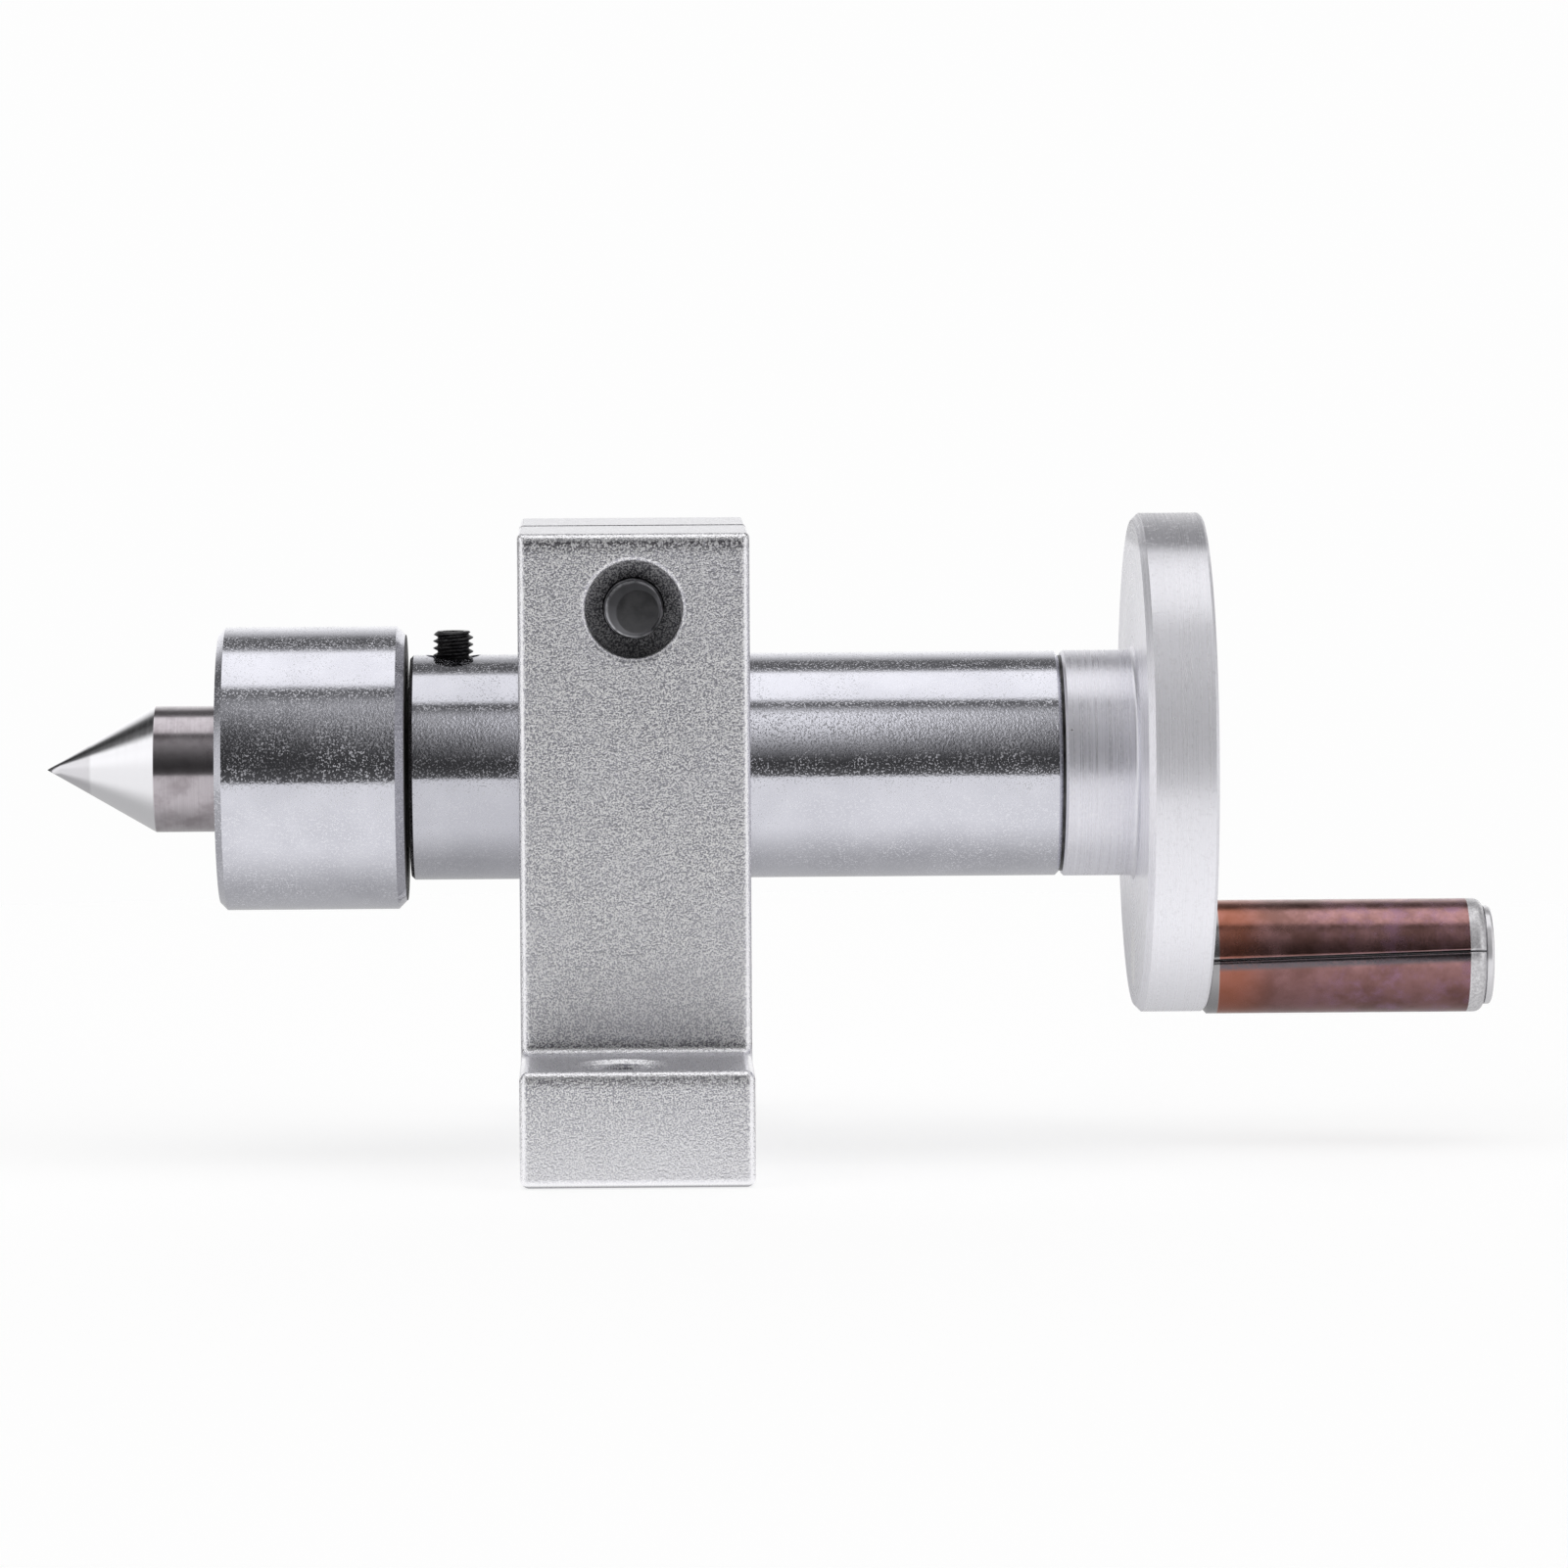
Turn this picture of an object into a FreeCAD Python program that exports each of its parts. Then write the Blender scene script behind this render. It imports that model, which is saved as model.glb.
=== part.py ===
import FreeCAD, Part
import os
import re
import Sketcher

# Bed-mounted live center: a revolving 60 degree point on a quill that a handwheel
# feeds out of a ground barrel, clamped in a footed bracket.
#
# Row frame, millimetres: the origin is the centre of the foot's bottom face, +Z is up,
# +X runs along the barrel towards the handwheel, +Y is the clamp screw's head side.
# Turned pieces are drawn as half sections: the first number of each point lies along
# the piece's own axis (the same X as the row's), the second is the radius.

V = FreeCAD.Vector
doc = FreeCAD.newDocument("LiveCenter")

# ---------------------------------------------------------------------------
# Driving dimensions. Every x value is a station along the barrel axis.
# ---------------------------------------------------------------------------
DIMENSIONS = {
    # bracket
    "axis_height": 38.2,
    "bracket_length": 22.7,
    "bracket_height": 62.3,
    "body_depth": 38.0,
    "foot_depth": 70.0,
    "foot_thickness": 11.3,
    "edge_radius": 0.9,
    "top_side_radius": 0.45,
    "root_radius": 0.9,
    "slit_width": 2.0,
    "bolt_spacing": 57.0,
    "bolt_offset": -1.4,
    "bolt_hole_radius": 4.25,
    "bolt_hole_chamfer": 0.4,
    # M6 clamp screw and its stepped hole
    "clamp_height": 54.85,
    "clamp_radius": 3.0,
    "clamp_pitch": 1.0,
    "clamp_length": 30.0,
    "clamp_sink": 1.5,
    "clamp_head_radius": 5.0,
    "clamp_head_height": 6.0,
    "clamp_recess_radius": 4.75,
    "clamp_recess_depth": 4.0,
    "clamp_recess_round": 0.5,
    "clamp_bore_radius": 3.3,
    "counterbore_radius": 5.3,
    "counterbore_depth": 6.52,
    "clamp_socket": 5.0,
    # fits: radial clearances
    "slip_fit": 0.05,
    "running_fit": 0.05,
    "press_fit": 0.01,
    "face_gap": 0.02,
    # barrel
    "barrel_radius": 11.25,
    "barrel_front": -22.3,
    "barrel_rear": 42.4,
    "barrel_chamfer": 0.35,
    "rear_wall_front": 36.6,
    # M4 quill lock screw with a dog point
    "lock_station": -18.0,
    "lock_radius": 2.0,
    "lock_pitch": 0.7,
    "lock_length": 8.0,
    "lock_stand": 2.4,
    "lock_socket": 2.0,
    "lock_sink_radius": 2.75,
    "lock_sink_depth": 0.5,
    "dog_radius": 1.25,
    "dog_length": 2.45,
    # quill
    "quill_radius": 8.0,
    "quill_rear": 30.0,
    "quill_chamfer": 0.5,
    "spigot_radius": 7.0,
    "spigot_front": -25.7,
    "pocket_radius": 5.7,
    "pocket_rear": -22.6,
    "screw_bore_radius": 4.3,
    "screw_bore_front": -10.5,
    "nut_front": 14.0,
    "nut_radius": 6.0,
    "keyway_front": -21.0,
    "keyway_rear": 9.0,
    "keyway_width": 2.7,
    "keyway_floor": 5.4,
    # bearing head
    "head_radius": 14.15,
    "head_front": -41.4,
    "head_rear": -22.7,
    "head_front_chamfer": 0.7,
    "head_rear_chamfer": 0.9,
    "cover_radius": 12.0,
    "cover_bore_radius": 6.6,
    "cover_thickness": 1.1,
    # 608 deep groove bearing, 8 x 22 x 7
    "bearing_front": -40.2,
    "bearing_width": 7.0,
    "bearing_outer_radius": 11.0,
    "bearing_inner_radius": 4.0,
    "inner_land_radius": 6.05,
    "outer_land_radius": 9.6,
    "ball_track_radius": 7.825,
    "ball_radius": 1.984,
    "groove_radius": 2.06,
    "ball_count": 7,
    "cage_inner_radius": 6.5,
    "cage_outer_radius": 9.1,
    "cage_back": 2.5,
    "cage_front": 0.8,
    "shield_inner_radius": 6.35,
    "shield_thickness": 0.3,
    "shield_inset": 0.15,
    # center point
    "tip_station": -58.7,
    "point_radius": 6.3,
    "point_half_angle": 30,
    "point_relief": 5.8,
    "journal_rear": -26.5,
    "center_tap_depth": 8.5,
    "center_washer_radius": 5.25,
    "center_washer_thickness": 0.8,
    "center_screw_radius": 2.0,
    "center_screw_length": 8.0,
    "center_screw_head_radius": 3.8,
    "center_screw_head_height": 2.2,
    # leadscrew
    "lead_radius": 4.0,
    "lead_pitch": 1.25,
    "lead_front": -8.0,
    "collar_front": 33.1,
    "collar_radius": 7.5,
    "journal_radius": 5.0,
    "lead_rear": 51.7,
    "thrust_thickness": 0.5,
    "shim_thickness": 0.3,
    "shim_radius": 10.8,
    # handwheel
    "hub_radius": 11.3,
    "hub_chamfer": 0.25,
    "wheel_front": 50.0,
    "wheel_rear": 56.85,
    "wheel_radius": 25.0,
    "wheel_front_chamfer": 0.65,
    "wheel_rear_chamfer": 0.3,
    "hub_root_radius": 0.5,
    "wheel_sink_radius": 9.0,
    "wheel_sink_floor": 52.1,
    "hub_screw_station": 46.2,
    "hub_screw_length": 6.0,
    "spindle_screw_radius": 2.5,
    "spindle_screw_length": 10.0,
    "spindle_head_radius": 4.75,
    "spindle_head_height": 2.75,
    "spindle_washer_radius": 7.5,
    "spindle_washer_thickness": 1.0,
    # crank handle
    "handle_offset": 19.65,
    "sleeve_radius": 5.7,
    "sleeve_front": 57.0,
    "sleeve_rear": 85.1,
    "sleeve_front_chamfer": 0.3,
    "sleeve_rear_round": 0.95,
    "seam_width": 0.16,
    "seam_front_rise": 0.1,
    "seam_rear_rise": 0.95,
    "pin_radius": 4.4,
    "pin_seat_radius": 3.0,
    "pin_head_radius": 4.95,
    "pin_head_length": 0.7,
    "pin_head_round": 0.35,
}

sheet = doc.addObject("Spreadsheet::Sheet", "Dims")
for row, (alias, value) in enumerate(DIMENSIONS.items(), start=1):
    sheet.set("A%d" % row, alias)
    sheet.set("B%d" % row, str(value))
    sheet.setAlias("B%d" % row, alias)
doc.recompute()

EXPECTED_SOLIDS = {}


# ---------------------------------------------------------------------------
# Helpers
# ---------------------------------------------------------------------------
def bound(text):
    """Turn a formula in dimension names into one that reads the sheet."""
    return re.sub(r"[a-z_]{3,}", lambda m: "Dims." + m[0] if m[0] in DIMENSIONS else m[0], text)


def value_of(text):
    """The present value of a formula in dimension names."""
    return float(sheet.evalExpression(bound(text)))


def bind(thing, prop, text):
    """Bind one property to a formula in dimension names."""
    thing.setExpression(prop, bound(text))


def new_body(label, base=("0", "0", "0"), turn=None):
    """A PartDesign body placed at base, turned about a row axis when asked."""
    body = doc.addObject("PartDesign::Body", label)
    body.Label = label
    if turn:
        axis, angle = turn
        body.Placement.Rotation = FreeCAD.Rotation(axis, angle)
    for axis_name, text in zip("xyz", base):
        bind(body, "Placement.Base." + axis_name, text)
    EXPECTED_SOLIDS[label] = 1
    return body


def new_sketch(body, name, role, offset=None):
    """A sketch on one of the body's own origin planes, offset along its normal."""
    plane = [item for item in body.Origin.OriginFeatures if item.Role == role][0]
    sketch = body.newObject("Sketcher::SketchObject", name)
    sketch.AttachmentSupport = [(plane, "")]
    sketch.MapMode = "FlatFace"
    if offset:
        bind(sketch, "AttachmentOffset.Base.z", offset)
    return sketch


def fix_point(sketch, line, end, point):
    """Dimension one line end from the sketch's origin."""
    for kind, text in zip(("DistanceX", "DistanceY"), point):
        rule = Sketcher.Constraint(kind, -1, 1, line, end, value_of(text))
        bind(sketch, "Constraints[%d]" % sketch.addConstraint(rule), text)


def draw_outline(sketch, points):
    """A closed outline of straight lines through points given as formulas."""
    spots = [V(value_of(across), value_of(up), 0) for across, up in points]
    first = sketch.GeometryCount
    count = len(points)
    for i in range(count):
        sketch.addGeometry(Part.LineSegment(spots[i], spots[(i + 1) % count]), False)
    for i in range(count):
        ends = (first + i, 2, first + (i + 1) % count, 1)
        sketch.addConstraint(Sketcher.Constraint("Coincident", *ends))
        fix_point(sketch, first + i, 1, points[i])


def draw_circle(sketch, centre, radius):
    """A circle whose centre and radius are formulas."""
    spot = V(value_of(centre[0]), value_of(centre[1]), 0)
    circle = sketch.addGeometry(Part.Circle(spot, V(0, 0, 1), value_of(radius)), False)
    fix_point(sketch, circle, 3, centre)
    rule = Sketcher.Constraint("Radius", circle, value_of(radius))
    bind(sketch, "Constraints[%d]" % sketch.addConstraint(rule), radius)


def draw_hexagon(sketch, across_flats):
    """A regular hexagon centred on the sketch's origin."""
    corners = []
    for i in range(6):
        reach = "%s / 2 / cos(30)" % across_flats
        corners.append(("%s * cos(%d)" % (reach, 60 * i), "%s * sin(%d)" % (reach, 60 * i)))
    draw_outline(sketch, corners)


def add_feature(body, kind, name, sketch, **settings):
    """A sketch-based feature; numbers and choices are set, formulas are bound."""
    feature = body.newObject("PartDesign::" + kind, name)
    feature.Profile = sketch
    if kind in ("Revolution", "Groove"):
        feature.ReferenceAxis = (sketch, [settings.pop("axis", "H_Axis")])
        feature.Angle = 360
    for prop, setting in settings.items():
        if prop == "Length":
            bind(feature, prop, setting)
        else:
            setattr(feature, prop, setting)
    return feature


def cut_feature(body, kind, name, sketch, **settings):
    """A cutting feature, checked to take some material away."""
    doc.recompute()
    before = body.Shape.Volume
    feature = add_feature(body, kind, name, sketch, **settings)
    doc.recompute()
    if not body.Shape.Volume < before - 1e-4:
        raise ValueError("%s in %s cuts nothing" % (name, body.Label))
    return feature


def turned(label, points, base=("0", "0", "axis_height"), turn=None):
    """A body turned about its own X axis from a half section."""
    body = new_body(label, base, turn)
    sketch = new_sketch(body, label + "_section", "XZ_Plane")
    draw_outline(sketch, points)
    add_feature(body, "Revolution", label + "_turned", sketch)
    return body


def tube(label, front, rear, inner, outer, base=("0", "0", "axis_height")):
    """A plain ring or tube between two stations."""
    points = [(front, inner), (front, outer), (rear, outer), (rear, inner)]
    return turned(label, points, base)


def thread_rings(body, start, stop, radius, pitch):
    """Thread form on a shank: one V groove repeated at the pitch."""
    crest = "(%s) + 0.1" % radius
    root = "(%s) - 0.61 * %s" % (radius, pitch)
    sketch = new_sketch(body, body.Label + "_thread", "XZ_Plane")
    points = [
        ("%s + 0.02 * %s" % (start, pitch), crest),
        ("%s + 0.42 * %s" % (start, pitch), root),
        ("%s + 0.54 * %s" % (start, pitch), root),
        ("%s + 0.94 * %s" % (start, pitch), crest),
    ]
    draw_outline(sketch, points)
    groove = cut_feature(body, "Groove", body.Label + "_thread_groove", sketch)
    rings = body.newObject("PartDesign::LinearPattern", body.Label + "_thread_form")
    rings.Originals = [groove]
    rings.Direction = (sketch, ["H_Axis"])
    count = "floor((%s - (%s)) / %s)" % (stop, start, pitch)
    bind(rings, "Occurrences", count)
    bind(rings, "Length", "(%s - 1) * %s" % (count, pitch))
    body.Tip = rings
    doc.recompute()


def hex_socket(body, mouth, across_flats, depth):
    """A hexagon socket sunk from the station mouth towards the screw's point."""
    sketch = new_sketch(body, body.Label + "_hexagon", "YZ_Plane", mouth)
    draw_hexagon(sketch, across_flats)
    cut_feature(body, "Pocket", body.Label + "_socket", sketch, Length=depth)


def round_edges(body, radius, wanted, name):
    """Fillet the edges of the body's tip that wanted(edge) picks."""
    doc.recompute()
    tip = body.Tip
    edges = ["Edge%d" % (i + 1) for i, edge in enumerate(tip.Shape.Edges) if wanted(edge)]
    fillet = body.newObject("PartDesign::Fillet", name)
    fillet.Base = (tip, edges)
    bind(fillet, "Radius", radius)
    doc.recompute()


def chamfer_edges(body, size, wanted, name):
    """Chamfer the edges of the body's tip that wanted(edge) picks."""
    doc.recompute()
    tip = body.Tip
    edges = ["Edge%d" % (i + 1) for i, edge in enumerate(tip.Shape.Edges) if wanted(edge)]
    chamfer = body.newObject("PartDesign::Chamfer", name)
    chamfer.Base = (tip, edges)
    bind(chamfer, "Size", size)
    doc.recompute()


def curve_of(edge):
    """The edge's curve, or None where two fillets meet in an unnamed one."""
    try:
        return edge.Curve
    except TypeError:
        return None


def is_straight(edge):
    return isinstance(curve_of(edge), Part.Line)


def is_circle_of(edge, radius):
    curve = curve_of(edge)
    return isinstance(curve, Part.Circle) and abs(curve.Radius - value_of(radius)) < 1e-6


# ---------------------------------------------------------------------------
# Bracket: an inverted T extruded along the barrel, bored, slit and drilled
# ---------------------------------------------------------------------------
bracket = new_body("clamp_bracket")
section = new_sketch(bracket, "bracket_section", "YZ_Plane")
draw_outline(section, [
    ("-foot_depth / 2", "0"),
    ("foot_depth / 2", "0"),
    ("foot_depth / 2", "foot_thickness"),
    ("body_depth / 2", "foot_thickness"),
    ("body_depth / 2", "bracket_height"),
    ("-body_depth / 2", "bracket_height"),
    ("-body_depth / 2", "foot_thickness"),
    ("-foot_depth / 2", "foot_thickness"),
])
add_feature(bracket, "Pad", "bracket_block", section, Length="bracket_length", Midplane=True)


def at_root(edge):
    """The two inside corners where the upright meets the foot."""
    middle = edge.CenterOfMass
    inside = abs(abs(middle.y) - value_of("body_depth / 2")) < 1e-6
    low = abs(middle.z - value_of("foot_thickness")) < 1e-6
    return is_straight(edge) and inside and low and abs(middle.x) < 1e-6


round_edges(bracket, "root_radius", at_root, "bracket_root_fillets")


def is_top_side(edge):
    """The two top edges that run front to back, sharper than the others."""
    middle = edge.CenterOfMass
    on_end = abs(abs(middle.x) - value_of("bracket_length / 2")) < 1e-6
    return is_straight(edge) and on_end and middle.z > value_of("bracket_height") - 1e-6


round_edges(bracket, "top_side_radius", is_top_side, "bracket_top_side_fillets")


def is_outside(edge):
    """Outside edges that the tumbled casting has rounded off."""
    middle = edge.CenterOfMass
    on_end = abs(abs(middle.x) - value_of("bracket_length / 2")) < 1e-6
    on_top = middle.z > value_of("bracket_height") - 1e-6
    on_foot = abs(abs(middle.y) - value_of("foot_depth / 2")) < 1e-6
    along = abs(middle.x) < 1e-6 and (on_top or on_foot)
    return (on_end and not on_top and middle.z < value_of("bracket_height - 1")) or along


round_edges(bracket, "edge_radius", is_outside, "bracket_edge_fillets")

bore = new_sketch(bracket, "barrel_bore_circle", "YZ_Plane")
draw_circle(bore, ("0", "axis_height"), "barrel_radius + slip_fit")
cut_feature(bracket, "Pocket", "barrel_bore", bore, Type="ThroughAll", Midplane=True)

slit = new_sketch(bracket, "clamp_slit_outline", "YZ_Plane")
draw_outline(slit, [
    ("-slit_width / 2", "axis_height"),
    ("slit_width / 2", "axis_height"),
    ("slit_width / 2", "bracket_height + 1"),
    ("-slit_width / 2", "bracket_height + 1"),
])
cut_feature(bracket, "Pocket", "clamp_slit", slit, Type="ThroughAll", Midplane=True)

# The stepped cross hole, from the front: recess, tapped half, clearance half, counterbore.
HOLE_STEPS = [
    ("-body_depth / 2 - 1", "-body_depth / 2 + clamp_recess_depth", "clamp_recess_radius"),
    ("-body_depth / 2 - 1", "0", "clamp_radius + running_fit"),
    ("0", "body_depth / 2 + 1", "clamp_bore_radius"),
    ("body_depth / 2 - counterbore_depth", "body_depth / 2 + 1", "counterbore_radius"),
]
for step, (start, stop, radius) in enumerate(HOLE_STEPS, start=1):
    circle = new_sketch(bracket, "clamp_hole_circle_%d" % step, "XZ_Plane", "-(%s)" % start)
    draw_circle(circle, ("0", "clamp_height"), radius)
    reach = "(%s) - (%s)" % (stop, start)
    cut_feature(bracket, "Pocket", "clamp_hole_%d" % step, circle, Length=reach)



def at_recess_mouth(edge):
    """The recess's mouth in the front face, rounded over like the casting's edges."""
    at_front = abs(edge.CenterOfMass.y + value_of("body_depth / 2")) < 1e-6
    return is_circle_of(edge, "clamp_recess_radius") and at_front


round_edges(bracket, "clamp_recess_round", at_recess_mouth, "clamp_recess_rounding")

bolts = new_sketch(bracket, "bolt_circles", "XY_Plane", "foot_thickness + 1")
draw_circle(bolts, ("bolt_offset", "bolt_spacing / 2"), "bolt_hole_radius")
draw_circle(bolts, ("bolt_offset", "-bolt_spacing / 2"), "bolt_hole_radius")
cut_feature(bracket, "Pocket", "bolt_holes", bolts, Length="foot_thickness + 2")
chamfer_edges(
    bracket,
    "bolt_hole_chamfer",
    lambda edge: is_circle_of(edge, "bolt_hole_radius"),
    "bolt_hole_chamfers",
)

# ---------------------------------------------------------------------------
# Clamp screw, M6 socket head; its local X runs from the point to the head
# ---------------------------------------------------------------------------
clamp = turned(
    "clamp_screw",
    [
        ("0", "0"),
        ("0", "clamp_radius - 0.9"),
        ("0.9", "clamp_radius"),
        ("clamp_length", "clamp_radius"),
        ("clamp_length", "clamp_head_radius"),
        ("clamp_length + clamp_head_height - 0.4", "clamp_head_radius"),
        ("clamp_length + clamp_head_height", "clamp_head_radius - 0.4"),
        ("clamp_length + clamp_head_height", "0"),
    ],
    ("0", "-body_depth / 2 + clamp_sink", "clamp_height"),
    (V(0, 0, 1), 90),
)
thread_rings(clamp, "0.9", "18", "clamp_radius", "clamp_pitch")
hex_socket(clamp, "clamp_length + clamp_head_height", "clamp_socket", "3")

# ---------------------------------------------------------------------------
# Barrel: ground sleeve with a rear wall that carries the leadscrew
# ---------------------------------------------------------------------------
barrel = turned("barrel", [
    ("barrel_front", "quill_radius + running_fit"),
    ("barrel_front", "barrel_radius - barrel_chamfer"),
    ("barrel_front + barrel_chamfer", "barrel_radius"),
    ("barrel_rear - barrel_chamfer", "barrel_radius"),
    ("barrel_rear", "barrel_radius - barrel_chamfer"),
    ("barrel_rear", "journal_radius + running_fit"),
    ("rear_wall_front", "journal_radius + running_fit"),
    ("rear_wall_front", "quill_radius + running_fit"),
])
tapped = new_sketch(barrel, "lock_hole_circle", "XY_Plane")
draw_circle(tapped, ("lock_station", "0"), "lock_radius + running_fit")
cut_feature(barrel, "Pocket", "lock_hole", tapped, Length="barrel_radius + 1", Reversed=True)
sink = new_sketch(barrel, "lock_sink_circle", "XY_Plane", "barrel_radius - lock_sink_depth")
draw_circle(sink, ("lock_station", "0"), "lock_sink_radius")
cut_feature(barrel, "Pocket", "lock_sink", sink, Length="2", Reversed=True)

# Lock screw: dog point in the quill's keyway, socket end standing proud of the barrel.
lock = turned(
    "quill_lock_screw",
    [
        ("0", "0"),
        ("0", "dog_radius"),
        ("dog_length", "dog_radius"),
        ("dog_length", "lock_radius - 0.35"),
        ("dog_length + 0.35", "lock_radius"),
        ("lock_length - 0.3", "lock_radius"),
        ("lock_length", "lock_radius - 0.3"),
        ("lock_length", "0"),
    ],
    ("lock_station", "0", "axis_height + barrel_radius + lock_stand - lock_length"),
    (V(0, 1, 0), -90),
)
thread_rings(lock, "dog_length + 0.35", "lock_length - 0.2", "lock_radius", "lock_pitch")
hex_socket(lock, "lock_length", "lock_socket", "1.8")

tube("thrust_washer", "rear_wall_front - thrust_thickness", "rear_wall_front",
     "journal_radius + running_fit", "collar_radius")
tube("rear_shim", "barrel_rear", "barrel_rear + shim_thickness",
     "journal_radius + running_fit", "shim_radius")

# ---------------------------------------------------------------------------
# Quill with its bronze nut
# ---------------------------------------------------------------------------
quill = turned("quill", [
    ("spigot_front", "pocket_radius"),
    ("spigot_front", "spigot_radius"),
    ("head_rear", "spigot_radius"),
    ("head_rear", "quill_radius"),
    ("quill_rear - quill_chamfer", "quill_radius"),
    ("quill_rear", "quill_radius - quill_chamfer"),
    ("quill_rear", "nut_radius + press_fit"),
    ("nut_front", "nut_radius + press_fit"),
    ("nut_front", "screw_bore_radius"),
    ("screw_bore_front", "screw_bore_radius"),
    ("screw_bore_front", "0"),
    ("pocket_rear", "0"),
    ("pocket_rear", "pocket_radius"),
])
keyway = new_sketch(quill, "keyway_outline", "XY_Plane", "keyway_floor")
draw_outline(keyway, [
    ("keyway_front", "-keyway_width / 2"),
    ("keyway_rear", "-keyway_width / 2"),
    ("keyway_rear", "keyway_width / 2"),
    ("keyway_front", "keyway_width / 2"),
])
cut_feature(quill, "Pocket", "keyway", keyway, Length="quill_radius", Reversed=True)
round_edges(
    quill,
    "keyway_width / 2 - 0.05",
    lambda edge: is_straight(edge)
    and abs(edge.tangentAt(edge.FirstParameter).z) > 0.99
    and abs(abs(edge.CenterOfMass.y) - value_of("keyway_width / 2")) < 1e-6,
    "keyway_ends",
)
tube("quill_nut", "nut_front", "quill_rear", "lead_radius + running_fit", "nut_radius")

# ---------------------------------------------------------------------------
# Bearing head
# ---------------------------------------------------------------------------
turned("bearing_housing", [
    ("head_front", "cover_radius + press_fit"),
    ("head_front", "head_radius - head_front_chamfer"),
    ("head_front + head_front_chamfer", "head_radius"),
    ("head_rear - head_rear_chamfer", "head_radius"),
    ("head_rear", "head_radius - head_rear_chamfer"),
    ("head_rear", "spigot_radius + press_fit"),
    ("bearing_front + 2 * bearing_width", "spigot_radius + press_fit"),
    ("bearing_front + 2 * bearing_width", "bearing_outer_radius + press_fit"),
    ("bearing_front", "bearing_outer_radius + press_fit"),
    ("bearing_front", "cover_radius + press_fit"),
])
tube("bearing_cover", "bearing_front - cover_thickness", "bearing_front",
     "cover_bore_radius", "cover_radius")


def ball_ring(name, middle, radius):
    """Spheres evenly spaced on the ball track, gathered in one compound."""
    balls = []
    for i in range(DIMENSIONS["ball_count"]):
        ball = doc.addObject("Part::Sphere", "%s_%d" % (name, i + 1))
        bind(ball, "Radius", radius)
        bind(ball, "Placement.Base.x", middle)
        bind(ball, "Placement.Base.y", "ball_track_radius * sin(360 / ball_count * %d)" % i)
        bind(ball, "Placement.Base.z",
             "axis_height + ball_track_radius * cos(360 / ball_count * %d)" % i)
        balls.append(ball)
    ring = doc.addObject("Part::Compound", name)
    ring.Label = name
    ring.Links = balls
    return ring


def disc(name, start, length, radius):
    """A plain cylinder about the barrel axis."""
    cylinder = doc.addObject("Part::Cylinder", name)
    cylinder.Placement.Rotation = FreeCAD.Rotation(V(0, 1, 0), 90)
    bind(cylinder, "Placement.Base.x", start)
    bind(cylinder, "Placement.Base.z", "axis_height")
    bind(cylinder, "Height", length)
    bind(cylinder, "Radius", radius)
    return cylinder


def pocket_ring(name, middle):
    """Radial drills on the ball stations that open a cage's pockets."""
    drills = []
    for i in range(DIMENSIONS["ball_count"]):
        angle = "360 / ball_count * %d" % i
        drill = doc.addObject("Part::Cylinder", "%s_%d" % (name, i + 1))
        drill.Placement.Rotation = FreeCAD.Rotation(V(1, 0, 0), -value_of(angle))
        bind(drill, "Radius", "groove_radius")
        bind(drill, "Height", "cage_outer_radius - cage_inner_radius + 2")
        bind(drill, "Placement.Base.x", middle)
        bind(drill, "Placement.Base.y", "(cage_inner_radius - 1) * sin(%s)" % angle)
        bind(drill, "Placement.Base.z", "axis_height + (cage_inner_radius - 1) * cos(%s)" % angle)
        drills.append(drill)
    ring = doc.addObject("Part::Compound", name + "s")
    ring.Links = drills
    return ring


def cut(name, base, tool):
    """One shape cut from another."""
    result = doc.addObject("Part::Cut", name)
    result.Label = name
    result.Base = base
    result.Tool = tool
    return result


def make_bearing(prefix, front):
    """A shielded deep groove bearing whose front face is at the station front."""
    rear = "(%s) + bearing_width" % front
    middle = "(%s) + bearing_width / 2" % front
    rings = {
        "_outer_ring": ("outer_land_radius", "bearing_outer_radius"),
        "_inner_ring": ("bearing_inner_radius", "inner_land_radius"),
    }
    for suffix, (inner, outer) in rings.items():
        ring = tube(prefix + suffix, front, rear, inner, outer)
        track = new_sketch(ring, ring.Label + "_track", "XZ_Plane")
        draw_circle(track, (middle, "ball_track_radius"), "groove_radius")
        cut_feature(ring, "Groove", ring.Label + "_ball_groove", track)

    balls = ball_ring(prefix + "_balls", middle, "ball_radius")
    EXPECTED_SOLIDS[balls.Label] = DIMENSIONS["ball_count"]

    # Crown cage: a ring behind the balls whose open pockets snap over them.
    start = "%s - cage_back" % middle
    length = "cage_back + cage_front"
    blank = disc(prefix + "_cage_blank", start, length, "cage_outer_radius")
    core = disc(prefix + "_cage_core", start, length, "cage_inner_radius")
    pockets = pocket_ring(prefix + "_cage_pocket", middle)
    hollow = cut(prefix + "_cage_ring", blank, core)
    cage = cut(prefix + "_cage", hollow, pockets)
    EXPECTED_SOLIDS[cage.Label] = 1

    shields = []
    faces = ("(%s) + shield_inset" % front, "(%s) - shield_inset - shield_thickness" % rear)
    for side, face in zip(("front", "rear"), faces):
        plate = disc("%s_%s_plate" % (prefix, side), face, "shield_thickness", "outer_land_radius")
        hole = disc("%s_%s_hole" % (prefix, side), face, "shield_thickness", "shield_inner_radius")
        shields.append(cut("%s_%s_shield" % (prefix, side), plate, hole))
    pair = doc.addObject("Part::Compound", prefix + "_shields")
    pair.Label = prefix + "_shields"
    pair.Links = shields
    EXPECTED_SOLIDS[pair.Label] = 2


make_bearing("front_bearing", "bearing_front")
make_bearing("rear_bearing", "bearing_front + bearing_width")

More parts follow.
